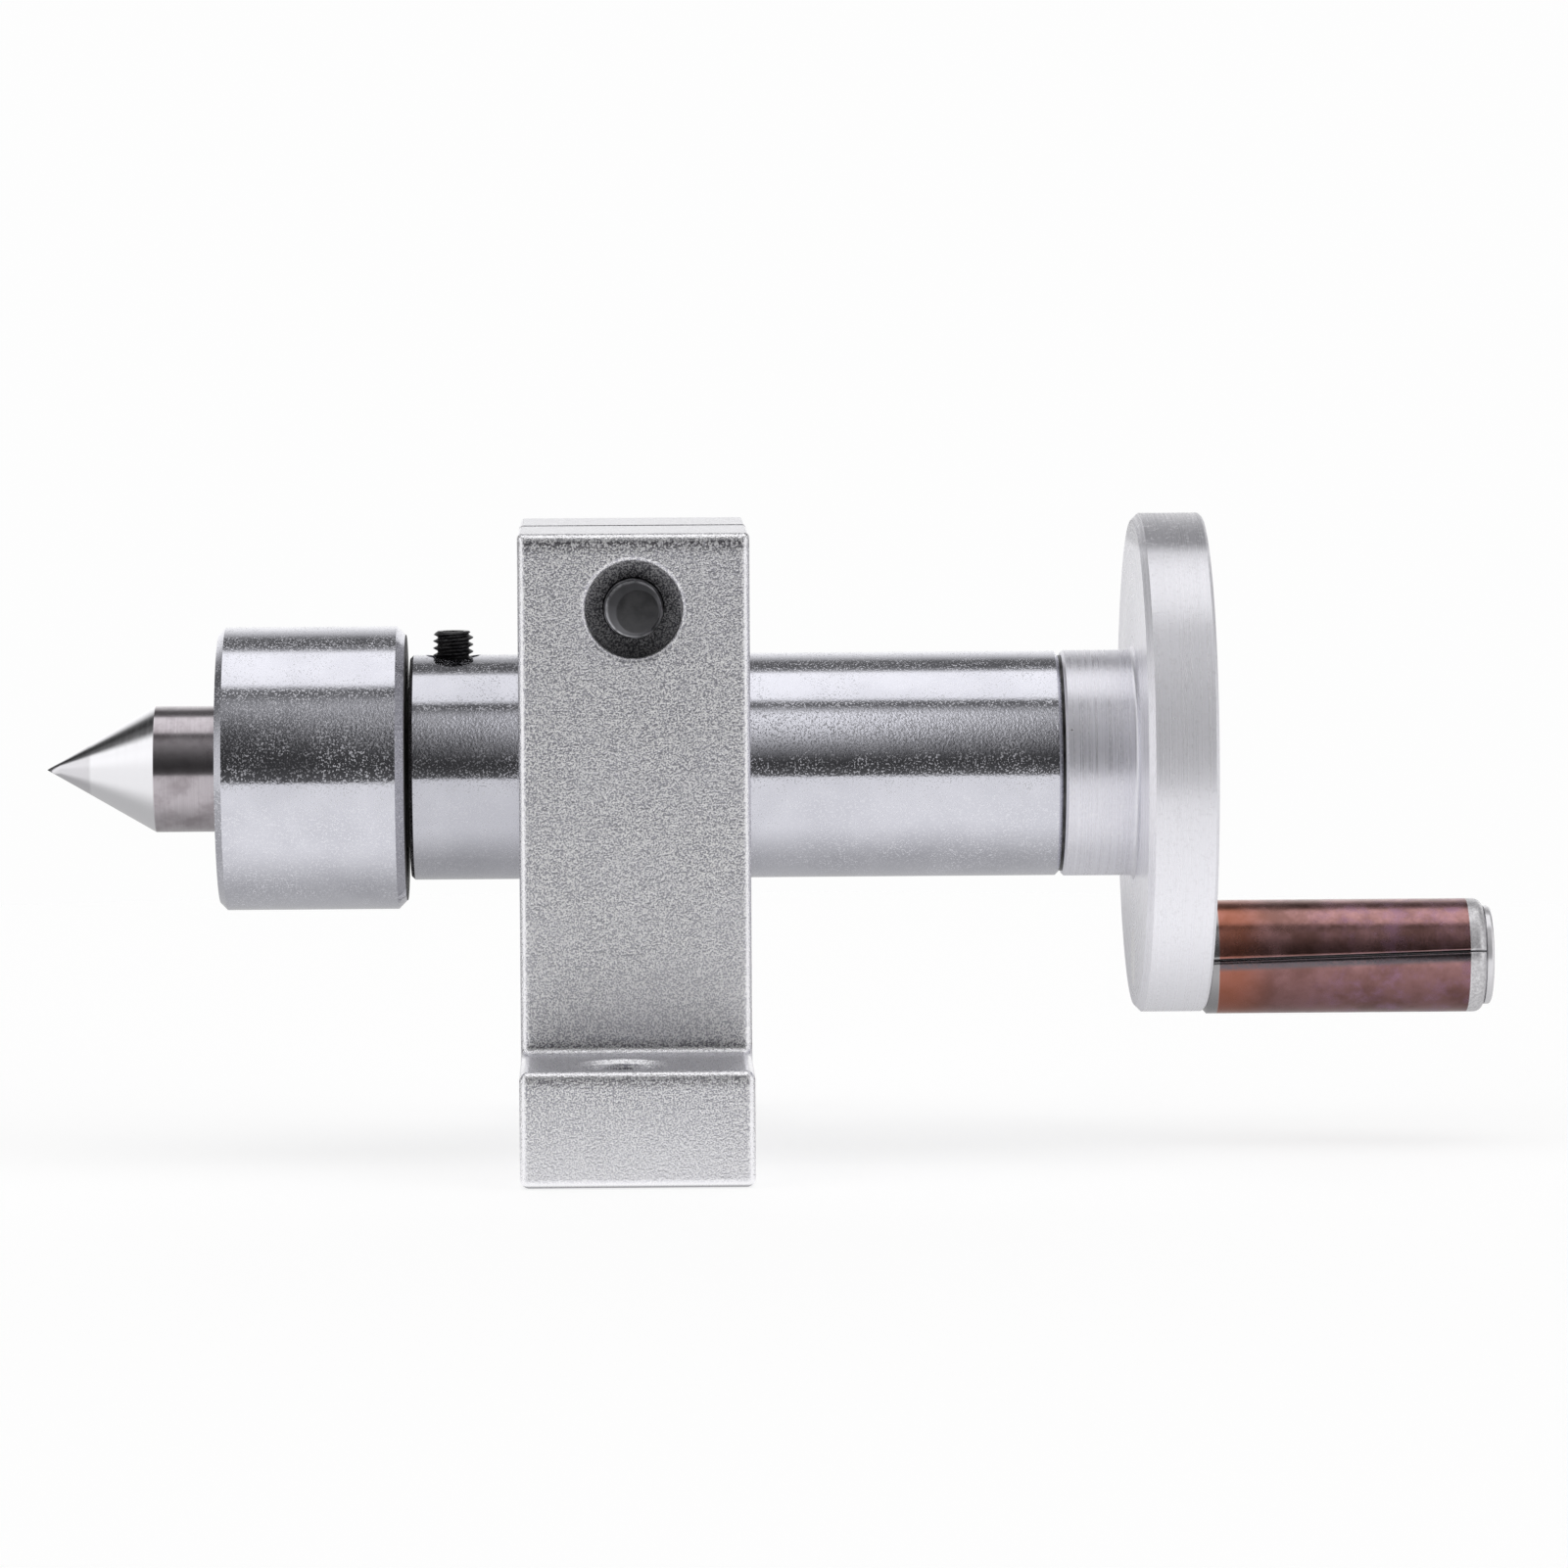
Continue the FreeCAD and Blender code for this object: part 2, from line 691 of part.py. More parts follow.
# ---------------------------------------------------------------------------
# Center point, its journal through both bearings, and what holds it there
# ---------------------------------------------------------------------------
turned("center_point", [
    ("tip_station", "0"),
    ("tip_station + point_radius / tan(point_half_angle)", "point_radius"),
    ("bearing_front - 0.5", "point_radius"),
    ("bearing_front - 0.5", "point_relief"),
    ("bearing_front", "point_relief"),
    ("bearing_front", "bearing_inner_radius - press_fit"),
    ("journal_rear", "bearing_inner_radius - press_fit"),
    ("journal_rear", "center_screw_radius"),
    ("journal_rear - center_tap_depth", "center_screw_radius"),
    ("journal_rear - center_tap_depth", "0"),
])
WASHER_FRONT = "bearing_front + 2 * bearing_width"
WASHER_REAR = "bearing_front + 2 * bearing_width + center_washer_thickness"
tube("center_washer", WASHER_FRONT, WASHER_REAR, "center_screw_radius + 0.1",
     "center_washer_radius")


def button_screw(label, seat, radius, length, head_radius, head_height, socket, pitch):
    """A button head screw along the barrel axis, its head at the +X end from seat on."""
    screw = turned(
        label,
        [
            ("-(%s)" % length, "0"),
            ("-(%s)" % length, "%s - 0.5" % radius),
            ("-(%s) + 0.5" % length, radius),
            ("0", radius),
            ("0", head_radius),
            ("0.3 * %s" % head_height, head_radius),
            ("0.75 * %s" % head_height, "0.84 * %s" % head_radius),
            (head_height, "0.62 * %s" % head_radius),
            (head_height, "0"),
        ],
        (seat, "0", "axis_height"),
    )
    thread_rings(screw, "-(%s) + 0.5" % length, "-1", radius, pitch)
    hex_socket(screw, head_height, socket, "0.6 * %s" % head_height)
    return screw


button_screw("center_screw", WASHER_REAR, "center_screw_radius - press_fit",
             "center_screw_length", "center_screw_head_radius", "center_screw_head_height",
             "2.5", "0.7")

# ---------------------------------------------------------------------------
# Leadscrew, left-hand: a clockwise handwheel pushes the quill out
# ---------------------------------------------------------------------------
leadscrew = turned("leadscrew", [
    ("lead_front", "0"),
    ("lead_front", "lead_radius - 0.8"),
    ("lead_front + 0.8", "lead_radius"),
    ("collar_front - 1.5", "lead_radius"),
    ("collar_front - 1.5", "lead_radius - 0.9"),
    ("collar_front", "lead_radius - 0.9"),
    ("collar_front", "collar_radius"),
    ("rear_wall_front - thrust_thickness - face_gap", "collar_radius"),
    ("rear_wall_front - thrust_thickness - face_gap", "journal_radius"),
    ("barrel_rear + shim_thickness + face_gap", "journal_radius"),
    ("barrel_rear + shim_thickness + face_gap", "lead_radius"),
    ("lead_rear", "lead_radius"),
    ("lead_rear", "spindle_screw_radius"),
    ("lead_rear - spindle_screw_length", "spindle_screw_radius"),
    ("lead_rear - spindle_screw_length", "0"),
])
thread_rings(leadscrew, "lead_front + 0.8", "collar_front - 1.5", "lead_radius", "lead_pitch")

# ---------------------------------------------------------------------------
# Handwheel with its hub
# ---------------------------------------------------------------------------
HUB_FRONT = "barrel_rear + shim_thickness + face_gap"
wheel = turned("handwheel", [
    (HUB_FRONT, "lead_radius + press_fit"),
    (HUB_FRONT, "hub_radius - hub_chamfer"),
    (HUB_FRONT + " + hub_chamfer", "hub_radius"),
    ("wheel_front", "hub_radius"),
    ("wheel_front", "wheel_radius - wheel_front_chamfer"),
    ("wheel_front + wheel_front_chamfer", "wheel_radius"),
    ("wheel_rear - wheel_rear_chamfer", "wheel_radius"),
    ("wheel_rear", "wheel_radius - wheel_rear_chamfer"),
    ("wheel_rear", "wheel_sink_radius"),
    ("wheel_sink_floor", "wheel_sink_radius"),
    ("wheel_sink_floor", "lead_radius + press_fit"),
])
round_edges(
    wheel,
    "hub_root_radius",
    lambda edge: is_circle_of(edge, "hub_radius")
    and abs(edge.CenterOfMass.x - value_of("wheel_front")) < 1e-6,
    "hub_root_fillet",
)
seat = new_sketch(wheel, "pin_seat_circle", "YZ_Plane", "wheel_rear + 1")
draw_circle(seat, ("0", "-handle_offset"), "pin_seat_radius + press_fit")
cut_feature(wheel, "Pocket", "pin_seat", seat, Length="wheel_rear - wheel_front + 2")
grub = new_sketch(wheel, "hub_screw_circle", "XZ_Plane")
draw_circle(grub, ("hub_screw_station", "0"), "lock_radius + press_fit")
cut_feature(wheel, "Pocket", "hub_screw_hole", grub, Length="hub_radius + 1")

hub_screw = turned(
    "hub_set_screw",
    [
        ("0", "0"),
        ("0", "lock_radius - 0.6"),
        ("0.6", "lock_radius"),
        ("hub_screw_length", "lock_radius"),
        ("hub_screw_length", "0"),
    ],
    ("hub_screw_station", "lead_radius", "axis_height"),
    (V(0, 0, 1), 90),
)
thread_rings(hub_screw, "0.6", "hub_screw_length", "lock_radius", "lock_pitch")
hex_socket(hub_screw, "hub_screw_length", "lock_socket", "1.8")

tube("spindle_washer", "wheel_sink_floor", "wheel_sink_floor + spindle_washer_thickness",
     "spindle_screw_radius + 0.15", "spindle_washer_radius")
button_screw("spindle_screw", "wheel_sink_floor + spindle_washer_thickness",
             "spindle_screw_radius - press_fit", "spindle_screw_length",
             "spindle_head_radius", "spindle_head_height", "3", "0.8")

# ---------------------------------------------------------------------------
# Crank handle: wrapped sleeve turning on a headed pin
# ---------------------------------------------------------------------------
HANDLE_BASE = ("0", "0", "axis_height - handle_offset")
sleeve = turned(
    "handle_sleeve",
    [
        ("sleeve_front", "pin_radius + running_fit"),
        ("sleeve_front", "sleeve_radius - sleeve_front_chamfer"),
        ("sleeve_front + sleeve_front_chamfer", "sleeve_radius"),
        ("sleeve_rear", "sleeve_radius"),
        ("sleeve_rear", "pin_radius + running_fit"),
    ],
    HANDLE_BASE,
)
round_edges(
    sleeve,
    "sleeve_rear_round",
    lambda edge: is_circle_of(edge, "sleeve_radius")
    and abs(edge.CenterOfMass.x - value_of("sleeve_rear")) < 1e-6,
    "sleeve_end_rounding",
)
# The butt joint of the wrapped sheet, a narrow gap that runs slightly askew.
seam = new_sketch(sleeve, "seam_outline", "XZ_Plane")
draw_outline(seam, [
    ("sleeve_front - 1", "seam_front_rise - seam_width / 2"),
    ("sleeve_rear + 1", "seam_rear_rise - seam_width / 2"),
    ("sleeve_rear + 1", "seam_rear_rise + seam_width / 2"),
    ("sleeve_front - 1", "seam_front_rise + seam_width / 2"),
])
cut_feature(sleeve, "Pocket", "seam", seam, Length="sleeve_radius + 1", Reversed=True)

pin = turned(
    "handle_pin",
    [
        ("wheel_front", "0"),
        ("wheel_front", "pin_seat_radius"),
        ("wheel_rear", "pin_seat_radius"),
        ("wheel_rear", "pin_radius"),
        ("sleeve_rear + 0.1", "pin_radius"),
        ("sleeve_rear + 0.1", "pin_head_radius"),
        ("sleeve_rear + 0.1 + pin_head_length", "pin_head_radius"),
        ("sleeve_rear + 0.1 + pin_head_length", "0"),
    ],
    HANDLE_BASE,
)
round_edges(
    pin,
    "pin_head_round",
    lambda edge: is_circle_of(edge, "pin_head_radius")
    and edge.CenterOfMass.x > value_of("sleeve_rear + 0.1 + pin_head_length / 2"),
    "pin_head_rounding",
)

# ---------------------------------------------------------------------------
# Check every object, then write one file for each sub-part
# ---------------------------------------------------------------------------
doc.recompute()
for item in doc.Objects:
    if "Invalid" in item.State or "Error" in item.State:
        raise RuntimeError("%s did not recompute: %s" % (item.Label, item.State))

os.makedirs("parts", exist_ok=True)
for label, solids in EXPECTED_SOLIDS.items():
    shape = doc.getObjectsByLabel(label)[0].Shape
    if shape.isNull() or not shape.isValid():
        raise RuntimeError("%s has no valid shape" % label)
    if len(shape.Solids) != solids:
        raise RuntimeError("%s has %d solids, not %d" % (label, len(shape.Solids), solids))
    shape.exportStep("parts/%s.step" % label)
    box = shape.BoundBox
    print("%-28s %9.1f mm3  x %7.2f %7.2f  y %7.2f %7.2f  z %7.2f %7.2f" % (
        label, shape.Volume, box.XMin, box.XMax, box.YMin, box.YMax, box.ZMin, box.ZMax))
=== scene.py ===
import math
import random

import bpy
from mathutils import Matrix, Vector


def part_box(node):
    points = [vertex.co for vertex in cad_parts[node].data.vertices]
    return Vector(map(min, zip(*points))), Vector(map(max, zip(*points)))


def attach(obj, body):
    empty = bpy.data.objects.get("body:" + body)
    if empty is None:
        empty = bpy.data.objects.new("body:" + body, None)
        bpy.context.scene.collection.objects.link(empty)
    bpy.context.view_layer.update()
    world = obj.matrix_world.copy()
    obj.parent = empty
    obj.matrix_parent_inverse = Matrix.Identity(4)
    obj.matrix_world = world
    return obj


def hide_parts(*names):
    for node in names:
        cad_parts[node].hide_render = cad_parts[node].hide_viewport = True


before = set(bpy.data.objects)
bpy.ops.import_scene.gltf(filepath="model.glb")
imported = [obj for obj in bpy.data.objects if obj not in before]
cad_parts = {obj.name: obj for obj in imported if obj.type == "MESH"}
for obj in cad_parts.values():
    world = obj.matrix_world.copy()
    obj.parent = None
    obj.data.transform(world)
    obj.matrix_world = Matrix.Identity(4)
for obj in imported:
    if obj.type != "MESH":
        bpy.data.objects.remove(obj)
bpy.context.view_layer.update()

# Looks for the bed-mounted live center: metals, real screw threads, the rolled
# handle sleeve, a pale floor, a soft studio sky and the camera. Stations come from
# the CAD boxes. Lengths are metres, written as a number times MM.

MM = 0.001
TURN = 2 * math.pi


# ---------------------------------------------------------------------------
# Stations read from the frame
# ---------------------------------------------------------------------------
def middle(node):
    low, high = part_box(node)
    return (low + high) / 2


AXIS_Z = middle("barrel").z
HANDLE_Z = middle("handle_sleeve").z
BLOCK_LOW, BLOCK_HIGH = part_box("clamp_bracket")
POINT_LOW, POINT_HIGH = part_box("center_point")
SLEEVE_LOW, SLEEVE_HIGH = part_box("handle_sleeve")
WHEEL_LOW, WHEEL_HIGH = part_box("handwheel")
SLEEVE_OUTER = SLEEVE_HIGH.z - HANDLE_Z
CLAMP_SCREW = middle("clamp_screw")
CLAMP_SCREW_TIP_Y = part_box("clamp_screw")[0].y
BLOCK_MOUTH_Y = CLAMP_SCREW_TIP_Y - 1.5 * MM     # the block's front face above the foot
FOOT_TOP = 11.3 * MM
WHEEL_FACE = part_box("handle_pin")[0].x           # front face of the wheel's disc
GAP_X = (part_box("bearing_housing")[1].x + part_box("barrel")[0].x) / 2     # head to barrel
CONE_HALF_ANGLE = math.radians(30)
CONE_END = POINT_LOW.x + (POINT_HIGH.z - AXIS_Z) / math.tan(CONE_HALF_ANGLE)


# ---------------------------------------------------------------------------
# Node material helpers
# ---------------------------------------------------------------------------
# ranges of a noise that catch nearly all of it, and its steeper middle
WIDE, MIDST = (0.3, 0.7), (0.35, 0.65)


def add(tree, kind, inputs=None, **properties):
    """A node with its properties set and its inputs set or linked."""
    node = tree.nodes.new("ShaderNode" + kind)
    for name, value in properties.items():
        setattr(node, name, value)
    for key, value in (inputs or {}).items():
        if isinstance(value, bpy.types.NodeSocket):
            tree.links.new(value, node.inputs[key])
        else:
            node.inputs[key].default_value = value
    return node


def maths(tree, operation, a, b=0.0):
    return add(tree, "Math", {0: a, 1: b}, operation=operation).outputs[0]


def times(tree, *values):
    """The product of two or more values."""
    product = values[0]
    for value in values[1:]:
        product = maths(tree, "MULTIPLY", product, value)
    return product


def plus(tree, a, b):
    return maths(tree, "ADD", a, b)


def minus(tree, a, b):
    return maths(tree, "SUBTRACT", a, b)


def largest(tree, *values):
    top = values[0]
    for value in values[1:]:
        top = maths(tree, "MAXIMUM", top, value)
    return top


def part_of(tree, vector, axis):
    """One coordinate of a vector: 0, 1 or 2 for X, Y or Z."""
    return add(tree, "SeparateXYZ", {0: vector}).outputs[axis]


def distance(tree, vector, point):
    return add(tree, "VectorMath", {0: vector, 1: point}, operation="DISTANCE").outputs["Value"]


def spread(tree, value, low, high, new_low=0.0, new_high=1.0, smooth=True):
    """value from low..high to new_low..new_high, held at the ends."""
    kind = "SMOOTHSTEP" if smooth else "LINEAR"
    inputs = {0: value, 1: low, 2: high, 3: new_low, 4: new_high}
    return add(tree, "MapRange", inputs, interpolation_type=kind).outputs[0]


def fade(tree, value, low, high, start=1.0):
    """start below low, 0 above high."""
    return spread(tree, value, low, high, start, 0.0)


def near(tree, value, centre, full, gone):
    """1 within full of a centre, 0 further off than gone."""
    return fade(tree, maths(tree, "ABSOLUTE", minus(tree, value, centre)), full, gone)


def blend(tree, factor, low, high):
    """Two colours mixed by a factor."""
    node = add(tree, "Mix", data_type="RGBA")
    for key, value in ((0, factor), (6, low), (7, high)):
        if isinstance(value, bpy.types.NodeSocket):
            tree.links.new(value, node.inputs[key])
        else:
            node.inputs[key].default_value = value if key == 0 else (*value[:3], 1.0)
    return node.outputs[2]


def noise(tree, vector, size, detail=2.0, rough=0.5):
    """Noise whose features are about size metres across."""
    inputs = {"Vector": vector, "Scale": 1.0 / size, "Detail": detail, "Roughness": rough}
    return add(tree, "TexNoise", inputs).outputs[0]


def place_of(tree):
    """The point on the object, in the row frame at rest, in metres."""
    return add(tree, "TexCoord").outputs["Object"]


def turned_place(tree, vector, centre_z):
    """Station along X, radius and angle about an axis at height centre_z."""
    parts = add(tree, "SeparateXYZ", {0: vector})
    rise = minus(tree, parts.outputs[2], centre_z)
    square = plus(tree, times(tree, rise, rise),
                  times(tree, parts.outputs[1], parts.outputs[1]))
    radius = maths(tree, "SQRT", square)
    angle = maths(tree, "ARCTAN2", rise, times(tree, parts.outputs[1], -1.0))
    return parts.outputs[0], radius, angle


def bump(tree, height, depth, under=None):
    """Surface relief depth metres tall for a height from 0 to 1."""
    inputs = {"Strength": 1.0, "Distance": depth, "Height": height}
    if under is not None:
        inputs["Normal"] = under
    return add(tree, "Bump", inputs).outputs[0]


def new_material(name, metallic=1.0):
    material = bpy.data.materials.new(name)
    material.use_nodes = True
    tree = material.node_tree
    shader = tree.nodes["Principled BSDF"]
    shader.inputs["Metallic"].default_value = metallic
    return material, tree, shader


def finish_surface(tree, shader, colour, rough, normal, metallic=None):
    """Link what varies over the surface; metallic only where it varies too."""
    tree.links.new(colour, shader.inputs["Base Color"])
    tree.links.new(rough, shader.inputs["Roughness"])
    tree.links.new(normal, shader.inputs["Normal"])
    if metallic is not None:
        tree.links.new(metallic, shader.inputs["Metallic"])


def tool_marks(tree, vector, centre_z, pitch, wander=0.35):
    """Fine rings left by turning: noise that runs round the axis and varies along
    the station on walls and along the radius on faces."""
    station, radius, angle = turned_place(tree, vector, centre_z)
    swing = times(tree, angle, wander)
    lined = add(tree, "CombineXYZ", {
        0: times(tree, station, 1.0 / pitch),
        1: times(tree, radius, 1.0 / pitch),
        2: swing,
    }).outputs[0]
    return noise(tree, lined, 1.0, 3.0, 0.6)


def plain_metal(name, light, dark, rough, grain, depth, centre_z=None):
    """A machined metal: blotchy colour, uneven polish, fine grain and, round an axis
    at height centre_z, tool marks."""
    material, tree, shader = new_material(name)
    here = place_of(tree)
    blotch = noise(tree, here, 6 * MM, 4.0, 0.6)
    fine = noise(tree, here, grain, 3.0, 0.65)
    normal = bump(tree, fine, depth)
    if centre_z is not None:
        normal = bump(tree, tool_marks(tree, here, centre_z, 0.12 * MM), depth, normal)
    finish_surface(tree, shader, blend(tree, spread(tree, blotch, *MIDST), dark, light),
                   spread(tree, fine, *WIDE, *rough), normal)
    return material


# ---------------------------------------------------------------------------
# Materials of the pieces that show
# ---------------------------------------------------------------------------
# painted shade, broken up by the pits, beside the bracket's long edges: height of the edge, the
# side of it, where the shade begins and where it ends away from the edge, and its strength
EDGE_SHADE = (
    (BLOCK_HIGH.z, -1.0, 0.65 * MM, 2.35 * MM, 1.0),
    (FOOT_TOP, -1.0, 0.65 * MM, 1.95 * MM, 0.75),
    (FOOT_TOP, 1.0, 0.45 * MM, 1.65 * MM, 0.7),
)
RECESS_RADIUS = 5.35 * MM       # painted shade round the clamp screw's end keeps inside this


def painted_edge_shade(tree, height):
    """How deep the painted shade beside the bracket's long edges is."""
    bands = []
    for edge, side, begin, end, amount in EDGE_SHADE:
        from_edge = times(tree, minus(tree, height, edge), side)
        full = begin + 0.2 * MM
        bands.append(times(tree, spread(tree, from_edge, begin, full),
                           fade(tree, from_edge, full, end), amount))
    return largest(tree, *bands)


def painted_recess_shade(tree, here, grit):
    """How much painted shade fills the clamp screw's recess: deepest on its floor, ragged at its
    rim.
    """
    lumps = noise(tree, here, 0.9 * MM, 3.0, 0.7)
    inward = plus(tree, part_of(tree, here, 1), times(tree, lumps, 2.4 * MM))
    deep = spread(tree, inward, BLOCK_MOUTH_Y + 1.4 * MM, BLOCK_MOUTH_Y + 2.0 * MM)
    across = add(tree, "VectorMath", {0: here, 1: (1, 0, 1)}, operation="MULTIPLY").outputs[0]
    from_axis = distance(tree, across, (CLAMP_SCREW.x, 0, CLAMP_SCREW.z))
    ragged = plus(tree, from_axis, times(tree, lumps, 1.4 * MM))
    recess_shade = times(tree, deep, fade(tree, ragged, RECESS_RADIUS, RECESS_RADIUS + 0.3 * MM))
    thick = minus(tree, spread(tree, grit, 0.42, 0.62, 0.98, 0.66),
                  spread(tree, from_axis, 3.4 * MM, 4.9 * MM, 0.0, 0.22))
    return times(tree, recess_shade, thick)


def blasted_aluminium():
    """Bead-blasted bracket: dense bright and dark grain, painted shade beside its long
    edges, rubbed smoother rounded edges with a painted highlight, painted light on its upward
    faces, a painted floor reflection low on the foot, painted light just above the foot, a painted
    contact shadow at the bed and painted shade in the clamp screw's recess."""
    crest, hollow, pitted = (1.0, 0.995, 1.0), (0.44, 0.435, 0.485), (0.44, 0.435, 0.475)
    muted_grey, shadow, painted_floor_reflection = (0.80, 0.795, 0.85), (0.15, 0.145, 0.16), (0.95, 0.945, 0.98)
    painted_edge_highlight, painted_ledge_light = (0.90, 0.895, 0.92), (0.92, 0.915, 0.96)
    painted_top_light, painted_contact_shadow, recess_shade_tone = (0.70, 0.695, 0.73), (0.20, 0.20, 0.215), (0.05, 0.05, 0.056)
    material, tree, shader = new_material("blasted_aluminium_skin")
    coordinates = add(tree, "TexCoord")
    here, facing = coordinates.outputs["Object"], coordinates.outputs["Normal"]
    height = part_of(tree, here, 2)
    patch = noise(tree, here, 9 * MM, 3.0, 0.55)
    pits = noise(tree, here, 0.34 * MM, 2.0, 0.7)
    grit = noise(tree, here, 0.17 * MM, 1.0, 0.6)
    colour = blend(tree, spread(tree, grit, 0.42, 0.57), hollow, crest)
    colour = blend(tree, spread(tree, pits, 0.54, 0.68, 0.0, 0.45), colour, pitted)
    colour = blend(tree, spread(tree, patch, 0.35, 0.7, 0.0, 0.2), colour, muted_grey)
    # painted shade beside the long edges, broken up by the pits
    dark = times(tree, painted_edge_shade(tree, height), spread(tree, pits, 0.45, 0.58, 1.0, 0.15))
    colour = blend(tree, dark, colour, shadow)
    # painted reflection of the floor, lighter towards the bed on the foot, and painted light on
    # the block just above the foot
    low = spread(tree, height, 0.0, 8.5 * MM, 0.66, 0.0, smooth=False)
    colour = blend(tree, low, colour, painted_floor_reflection)
    painted_light_band = times(tree, spread(tree, height, FOOT_TOP, FOOT_TOP + 4 * MM),
                  spread(tree, height, FOOT_TOP + 6 * MM, FOOT_TOP + 28 * MM, 0.16, 0.0,
                         smooth=False))
    colour = blend(tree, painted_light_band, colour, crest)
    # rounded edges, found where the surface faces none of the row's axes: a painted highlight
    # there, and less roughness
    turns = add(tree, "SeparateXYZ", {
        0: add(tree, "VectorMath", {0: facing}, operation="ABSOLUTE").outputs[0]})
    squareness = largest(tree, *turns.outputs)
    away = distance(tree, here, (CLAMP_SCREW.x, BLOCK_MOUTH_Y, CLAMP_SCREW.z))
    edge = times(tree, fade(tree, squareness, 0.86, 0.985),
                 spread(tree, away, 5.6 * MM, 6.0 * MM))
    colour = blend(tree, times(tree, edge, 0.85), colour, painted_edge_highlight)
    # painted light on the upward faces, paler on the foot's top than on the block's top; these
    # faces are also less rough
    flat_top = spread(tree, part_of(tree, facing, 2), 0.9, 0.99)
    painted_face_light = blend(tree, spread(tree, height, FOOT_TOP, FOOT_TOP + 1 * MM),
                  painted_ledge_light, painted_top_light)
    colour = blend(tree, times(tree, flat_top, 0.9), colour, painted_face_light)
    # a painted contact shadow where the foot meets the bed
    colour = blend(tree, fade(tree, height, 0.12 * MM, 0.40 * MM, 0.85), colour, painted_contact_shadow)
    colour = blend(tree, painted_recess_shade(tree, here, grit), colour, recess_shade_tone)
    rough = minus(tree, spread(tree, grit, *WIDE, 0.36, 0.52),
                  times(tree, largest(tree, edge, flat_top), 0.16))
    normal = bump(tree, grit, 0.030 * MM, bump(tree, pits, 0.050 * MM))
    finish_surface(tree, shader, colour, rough, normal)
    return material


def ground_steel():
    """Ground and polished barrel and head: a mirror with frosted specks, painted shade
    in the gap where the head meets the barrel, and darker from the head back to the bracket."""
    steel_low, steel_high = (0.575, 0.575, 0.630), (0.635, 0.635, 0.692)
    frosted, muted_grey = (0.86, 0.86, 0.91), (0.20, 0.20, 0.22)
    gap_shade_low, gap_shade_high = (0.030, 0.028, 0.027), (0.075, 0.071, 0.068)
    material, tree, shader = new_material("ground_steel_skin")
    here = place_of(tree)
    station = part_of(tree, here, 0)
    haze = noise(tree, here, 7 * MM, 4.0, 0.6)
    peel = noise(tree, here, 0.26 * MM, 2.0, 0.65)
    wear = spread(tree, noise(tree, here, 4 * MM, 3.0, 0.6), *MIDST, 0.45, 1.0)
    frost = times(tree, spread(tree, noise(tree, here, 0.19 * MM, 1.0, 0.6), 0.54, 0.64), wear)
    lines = tool_marks(tree, here, AXIS_Z, 0.09 * MM, 0.8)
    clouds = spread(tree, haze, *MIDST)
    colour = blend(tree, clouds, steel_low, steel_high)
    colour = blend(tree, times(tree, frost, 0.8), colour, frosted)
    # the barrel is made a little darker from the head back to the bracket
    darker_span = times(tree, spread(tree, station, GAP_X, GAP_X + 0.3 * MM),
                 fade(tree, station, BLOCK_LOW.x, BLOCK_HIGH.x))
    colour = blend(tree, times(tree, darker_span, 0.22), colour, muted_grey)
    # painted shade in the gap where the head meets the barrel, which is also rougher and less
    # metallic there
    gap_shade = near(tree, station, GAP_X, 0.24 * MM, 0.30 * MM)
    colour = blend(tree, gap_shade, colour, blend(tree, clouds, gap_shade_low, gap_shade_high))
    rough = plus(tree, spread(tree, haze, *WIDE, 0.06, 0.10), times(tree, frost, 0.5))
    rough = plus(tree, rough, times(tree, gap_shade, 0.5))
    normal = bump(tree, lines, 0.0006 * MM, bump(tree, peel, 0.0055 * MM))
    finish_surface(tree, shader, colour, rough, normal,
                   metallic=minus(tree, 1.0, times(tree, gap_shade, 0.9)))
    return material


